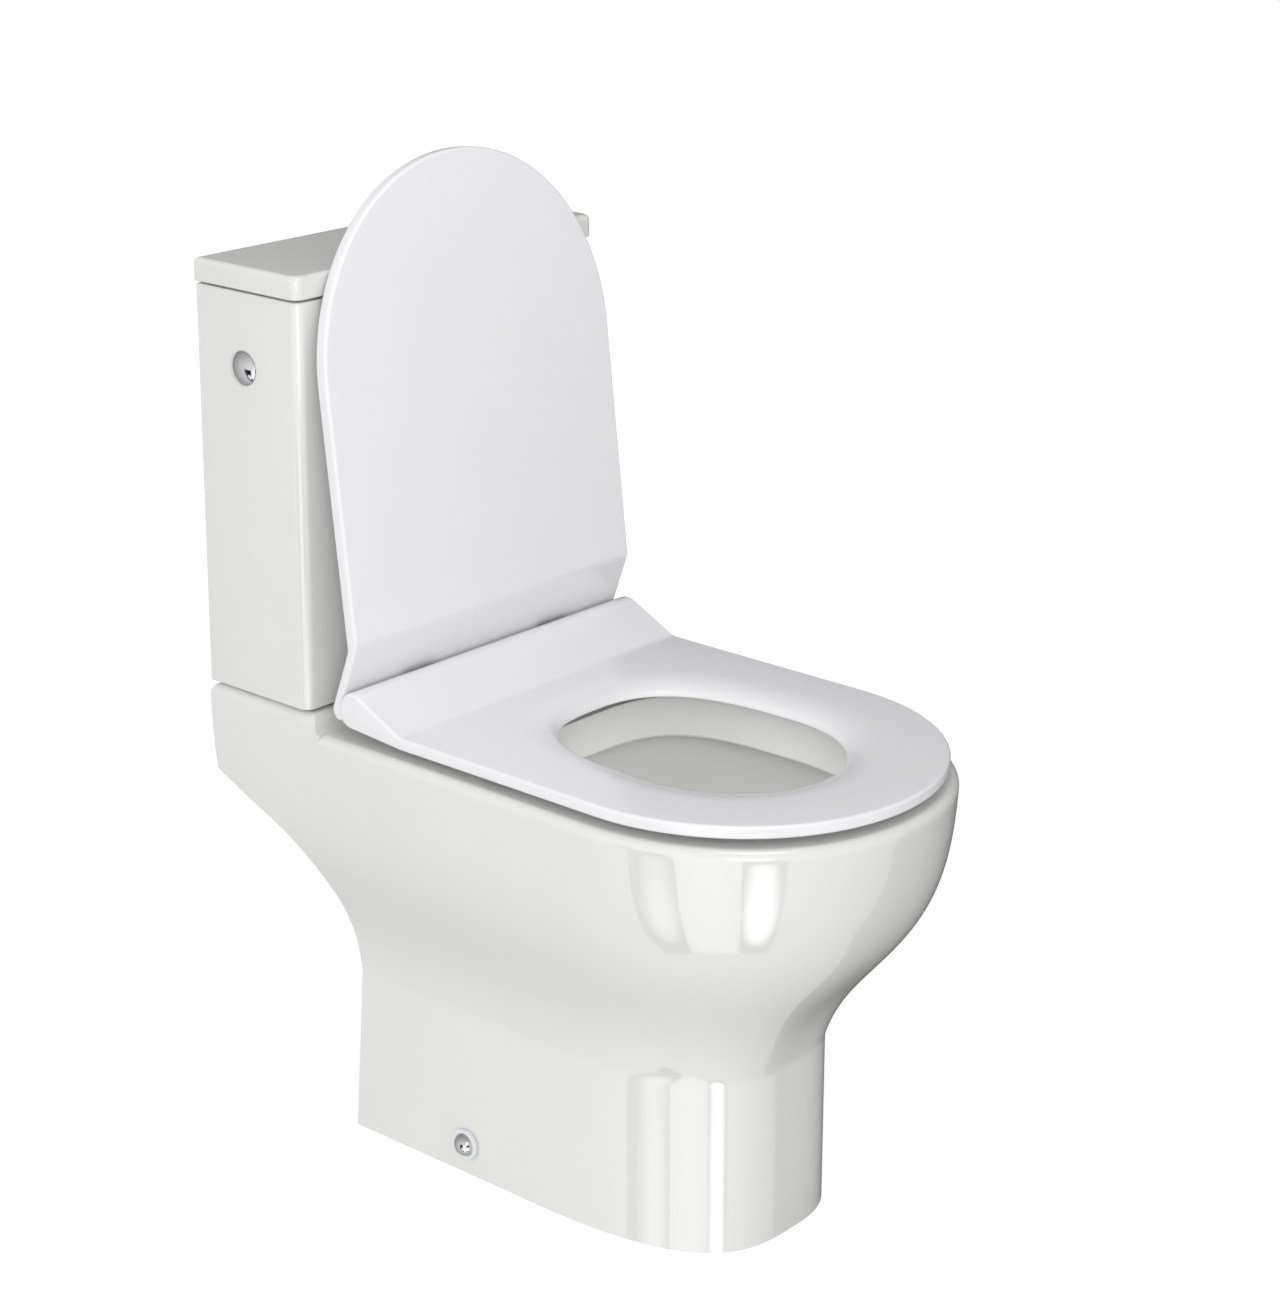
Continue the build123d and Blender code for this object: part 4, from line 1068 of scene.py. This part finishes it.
def edged_copy(node_name, material, bevel):
    """A copy of a CAD node; where it is bevelled, its flat faces are made whole again first."""
    source = frame["nodes"][node_name]
    mesh = bmesh.new()
    mesh.from_mesh(source.data)
    bmesh.ops.remove_doubles(mesh, verts=mesh.verts, dist=sewn)
    if bevel:
        flat = math.radians(0.5)
        bmesh.ops.dissolve_limit(mesh, angle_limit=flat, verts=mesh.verts, edges=mesh.edges)
    thing = new_object(node_name + "_finished", mesh)
    finish_piece(thing, source["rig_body"], [node_name], material, 35, bevel)
    step = thing.modifiers.new("normals", "WEIGHTED_NORMAL")
    step.mode = "FACE_AREA"
    step.keep_sharp = True
    bpy.context.view_layer.update()
    apply_modifiers(thing)


finishes = {
    "china": glazed_china(),
    "seat_plastic": seat_moulding(),
    "chrome": chrome_with_painted_dark_reflection(),
    "steel": zinc_steel(),
    "rubber": black_rubber(),
    "valve_plastic": valve_plastic(),
}
edge_width = 0.3
own_pieces = ("pan", "cistern_tank", "cistern_lid", "seat_ring", "seat_lid")
for part in frame["record"]["subparts"]:
    dress(part["node"], finishes[part["material_slot"]])
for make_piece in (pan_piece, tank_piece, cover_piece):
    make_piece(finishes["china"])
for make_piece in (seat_piece, lid_piece):
    make_piece(finishes["seat_plastic"])
for part in frame["record"]["subparts"]:
    slot = part["material_slot"]
    if part["node"] not in own_pieces:
        edged_copy(part["node"], finishes[slot], 0 if slot == "chrome" else edge_width)


# ---- threads, grown by rule
def thread_tree():
    """A Geometry Nodes tree that winds a three-sided ridge round a rod."""
    tree = bpy.data.node_groups.new("thread", "GeometryNodeTree")
    tree.interface.new_socket("Geometry", in_out="OUTPUT", socket_type="NodeSocketGeometry")
    for name, value in (("Radius", 0.004), ("Length", 0.03), ("Pitch", 0.00125), ("Depth", 0.0004)):
        socket = tree.interface.new_socket(name, in_out="INPUT", socket_type="NodeSocketFloat")
        socket.default_value = value
    tree.interface.new_socket("Material", in_out="INPUT", socket_type="NodeSocketMaterial")
    given = add_node(tree, "NodeGroupInput").outputs
    turns = add_node(tree, "ShaderNodeMath", {0: given["Length"], 1: given["Pitch"]}, operation="DIVIDE")
    spiral = add_node(tree, "GeometryNodeCurveSpiral", {
        "Resolution": 20, "Rotations": turns.outputs[0], "Start Radius": given["Radius"],
        "End Radius": given["Radius"], "Height": given["Length"]})
    ridge = add_node(tree, "GeometryNodeCurvePrimitiveCircle", {"Resolution": 3, "Radius": given["Depth"]})
    swept = add_node(tree, "GeometryNodeCurveToMesh", {
        "Fill Caps": True, "Curve": spiral.outputs["Curve"], "Profile Curve": ridge.outputs["Curve"]})
    real = add_node(tree, "GeometryNodeRealizeInstances", {"Geometry": swept.outputs["Mesh"]})
    painted = add_node(tree, "GeometryNodeSetMaterial", {
        "Geometry": real.outputs["Geometry"], "Material": given["Material"]})
    add_node(tree, "NodeGroupOutput", {"Geometry": painted.outputs["Geometry"]})
    return tree


def wound(tree, values):
    """The mesh that a tree makes from named values."""
    thing = new_object("grown", bmesh.new())
    step = thing.modifiers.new("grow", "NODES")
    step.node_group = tree
    for socket in tree.interface.items_tree:
        if socket.item_type == "SOCKET" and socket.in_out == "INPUT" and socket.name in values:
            step[socket.identifier] = values[socket.name]
    bpy.context.view_layer.update()
    apply_modifiers(thing)
    mesh = bmesh.new()
    mesh.from_mesh(thing.data)
    bpy.data.objects.remove(thing)
    return mesh


def rod_foot(node):
    """The lowest height of a CAD node, in millimetres."""
    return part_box(node)[0][2] / MM


def bolt_threads(rods, material):
    """Threads on several upright bolts as one piece; each rod is (x, out, low)."""
    tree = thread_tree()
    depth = thread_depth_share * bolt_pitch
    inner_radius = bolt_radius - thread_sunk_share * depth
    values = {"Radius": inner_radius * MM, "Length": bolt_thread * MM, "Pitch": bolt_pitch * MM,
              "Depth": depth * MM, "Material": material}
    meshes = []
    for x, out, low in rods:
        mesh = wound(tree, values)
        bmesh.ops.translate(mesh, verts=mesh.verts, vec=Vector((x, at(out), low)) * MM)
        bmesh.ops.recalc_face_normals(mesh, faces=mesh.faces)
        meshes.append(mesh)
    finish_piece(new_object("bolt_threads", joined(meshes)), "toilet", [], material, 50)


bolt_radius = 4.0
bolt_pitch = 1.25
bolt_thread = 34.0
thread_depth_share = 0.33
thread_sunk_share = 0.2
thread_start = 1.0
hinge_bolt_spacing = 155.0
bolts = []
for side in (-1, 1):
    bolts.append((side * coupling_spacing / 2, inlet_out, rod_foot("coupling_bolts") + thread_start))
    bolts.append((side * hinge_bolt_spacing / 2, hinge_out, rod_foot("hinge_bolts") + thread_start))
bolt_threads(bolts, finishes["steel"])


# ---- studio
def backdrop():
    """Pale floor that the camera sees as white, with the object's shadow kept on it."""
    material, tree, shader = node_material("studio_floor")
    colour = tint(tree, object_noise(tree, 1.5), (0.79, 0.79, 0.79), (0.81, 0.81, 0.81))
    tree.links.new(colour, shader.inputs["Base Color"])
    shader.inputs["Roughness"].default_value = 0.9
    shader.inputs["Specular IOR Level"].default_value = 0.0
    camera_ray = add_node(tree, "ShaderNodeLightPath").outputs["Is Camera Ray"]
    seen = add_node(tree, "ShaderNodeMath", {0: camera_ray, 1: floor_glow_share}, operation="MULTIPLY")
    glow = add_node(tree, "ShaderNodeEmission", {"Strength": floor_glow})
    mix = add_node(tree, "ShaderNodeMixShader", {
        0: seen.outputs[0], 1: shader.outputs["BSDF"], 2: glow.outputs["Emission"]})
    tree.links.new(mix.outputs["Shader"], tree.nodes["Material Output"].inputs["Surface"])
    return material


def floor():
    mesh = bmesh.new()
    bmesh.ops.create_grid(mesh, x_segments=1, y_segments=1, size=20)
    thing = new_object("studio_floor", mesh)
    thing.data.materials.append(backdrop())
    thing.visible_glossy = False


def area_light(name, place, target, size, power):
    data = bpy.data.lights.new(name, "AREA")
    data.shape = "RECTANGLE"
    data.size, data.size_y = size
    data.energy = power
    lamp = bpy.data.objects.new(name, data)
    bpy.context.scene.collection.objects.link(lamp)
    lamp.matrix_world = facing(place, target)
    return lamp


def facing(place, target):
    aim = Vector(target) - Vector(place)
    return Matrix.Translation(place) @ aim.to_track_quat("-Z", "Y").to_matrix().to_4x4()


def facing_share(tree, place, direction):
    """How much a place, as a vector, lies towards a direction."""
    inputs = {0: place, 1: direction}
    return add_node(tree, "ShaderNodeVectorMath", inputs, operation="DOT_PRODUCT").outputs["Value"]


def board_material(name, middle, outward, edge, glow):
    """Light that is strongest at the board's middle and fades to nothing at its edge."""
    material, tree, shader = node_material(name)
    place = add_node(tree, "ShaderNodeTexCoord").outputs["Object"]
    across = add_node(tree, "ShaderNodeVectorMath", {0: place, 1: middle}, operation="SUBTRACT")
    inputs = {0: across.outputs["Vector"], 1: (1, 1, board_height_share)}
    flat = add_node(tree, "ShaderNodeVectorMath", inputs, operation="MULTIPLY")
    unit = add_node(tree, "ShaderNodeVectorMath", {0: flat.outputs["Vector"]}, operation="NORMALIZE")
    towards = facing_share(tree, unit.outputs["Vector"], outward)
    strength = ramp_between(tree, towards, 0.0, glow, edge, 1.0)
    tree.links.new(strength, shader.inputs["Emission Strength"])
    shader.inputs["Emission Color"].default_value = (1, 1, 1, 1)
    shader.inputs["Base Color"].default_value = (0.02, 0.02, 0.02, 1)
    return material


def board(name, azimuth, width, span, glow):
    """A board round the object that shows only in reflections; azimuth and width are in degrees."""
    low, high = span
    middle = Vector((0, board_centre_y, (low + high) / 2))
    turn = math.radians(azimuth)
    outward = Vector((math.sin(turn), -math.cos(turn), 0))
    half_turn = math.radians(width / 2)
    half_width = board_distance * math.tan(half_turn)
    half_height = (high - low) / 2
    placed = facing(middle + board_distance * outward, middle)
    mesh = bmesh.new()
    corners = []
    for across, up in ((-1, -1), (1, -1), (1, 1), (-1, 1)):
        corners.append(mesh.verts.new(placed @ Vector((across * half_width, up * half_height, 0))))
    mesh.faces.new(corners)
    thing = new_object(name, mesh)
    thing.data.materials.append(board_material(name, middle, outward, math.cos(half_turn), glow))
    thing.visible_camera = False
    thing.visible_diffuse = False
    thing.visible_shadow = False


def world():
    """White to the camera; as a light it is brightest from the front left and weaker overhead."""
    scene = bpy.context.scene
    scene.world = bpy.data.worlds.new("studio")
    scene.world.use_nodes = True
    tree = scene.world.node_tree
    direction = add_node(tree, "ShaderNodeTexCoord").outputs["Generated"]
    side = ramp_between(tree, facing_share(tree, direction, bright_side), sky_dark, sky_bright, -1.0, 1.0)
    height = add_node(tree, "ShaderNodeSeparateXYZ", {"Vector": direction}).outputs["Z"]
    overhead = ramp_between(tree, height, 1.0, sky_overhead)
    light = add_node(tree, "ShaderNodeMath", {0: side, 1: overhead}, operation="MULTIPLY")
    camera_ray = add_node(tree, "ShaderNodeLightPath").outputs["Is Camera Ray"]
    strength = add_node(tree, "ShaderNodeMix", {"Factor": camera_ray, "A": light.outputs[0], "B": 1.0})
    background = tree.nodes["Background"]
    tree.links.new(strength.outputs["Result"], background.inputs["Strength"])
    background.inputs["Color"].default_value = (1, 1, 1, 1)


def camera():
    azimuth, elevation = math.radians(camera_azimuth), math.radians(camera_elevation)
    back = Vector((math.sin(azimuth) * math.cos(elevation), -math.cos(azimuth) * math.cos(elevation),
                   math.sin(elevation)))
    data = bpy.data.cameras.new("camera")
    data.sensor_width = 36
    data.lens = camera_lens
    data.clip_end = 30
    thing = bpy.data.objects.new("camera", data)
    bpy.context.scene.collection.objects.link(thing)
    turn = (-back).to_track_quat("-Z", "Y").to_matrix().to_4x4()
    thing.matrix_world = Matrix.Translation(camera_place) @ turn
    bpy.context.scene.camera = thing


bright_side = (-0.9, -0.44, 0.0)
sky_dark = 0.1
sky_bright = 1.7
sky_overhead = 0.66
floor_glow_share = 0.75
floor_glow = 1.2
board_distance = 2.2
board_height_share = 0.35
board_centre_y = -0.1
camera_place = (-1.7067, -1.6084, 1.2773)
camera_azimuth = -48.5577
camera_elevation = 19.4186
camera_lens = 81.714
floor()
world()
camera()
area_light("key", (-1.9, -1.9, 0.9), (0, -0.1, 0.45), (0.9, 1.4), 11)
area_light("top", (-0.1, -0.45, 2.0), (0, -0.2, 0.4), (0.6, 0.6), 4)
bowl_lamp = area_light("bowl_lamp", (0, -0.1715, 0.404), (0, -0.1715, 0.3), (0.13, 0.18), 0.14)
bowl_lamp.data.shape = "ELLIPSE"
bowl_lamp.visible_camera = False
bowl_lamp.visible_glossy = False
board("board_broad", -66, 80, (-3.2, 0.4), 2.6)
board("board_left", -92, 20, (-3.2, 0.3), 2.6)
board("board_front", -38, 22, (-3.2, 0.3), 7.0)
board("board_dark", 85, 90, (-3.2, 1.0), 0.0)
board("board_rear_left", 148, 40, (0.0, 1.0), 0.0)
bpy.context.scene.view_settings.view_transform = "Standard"
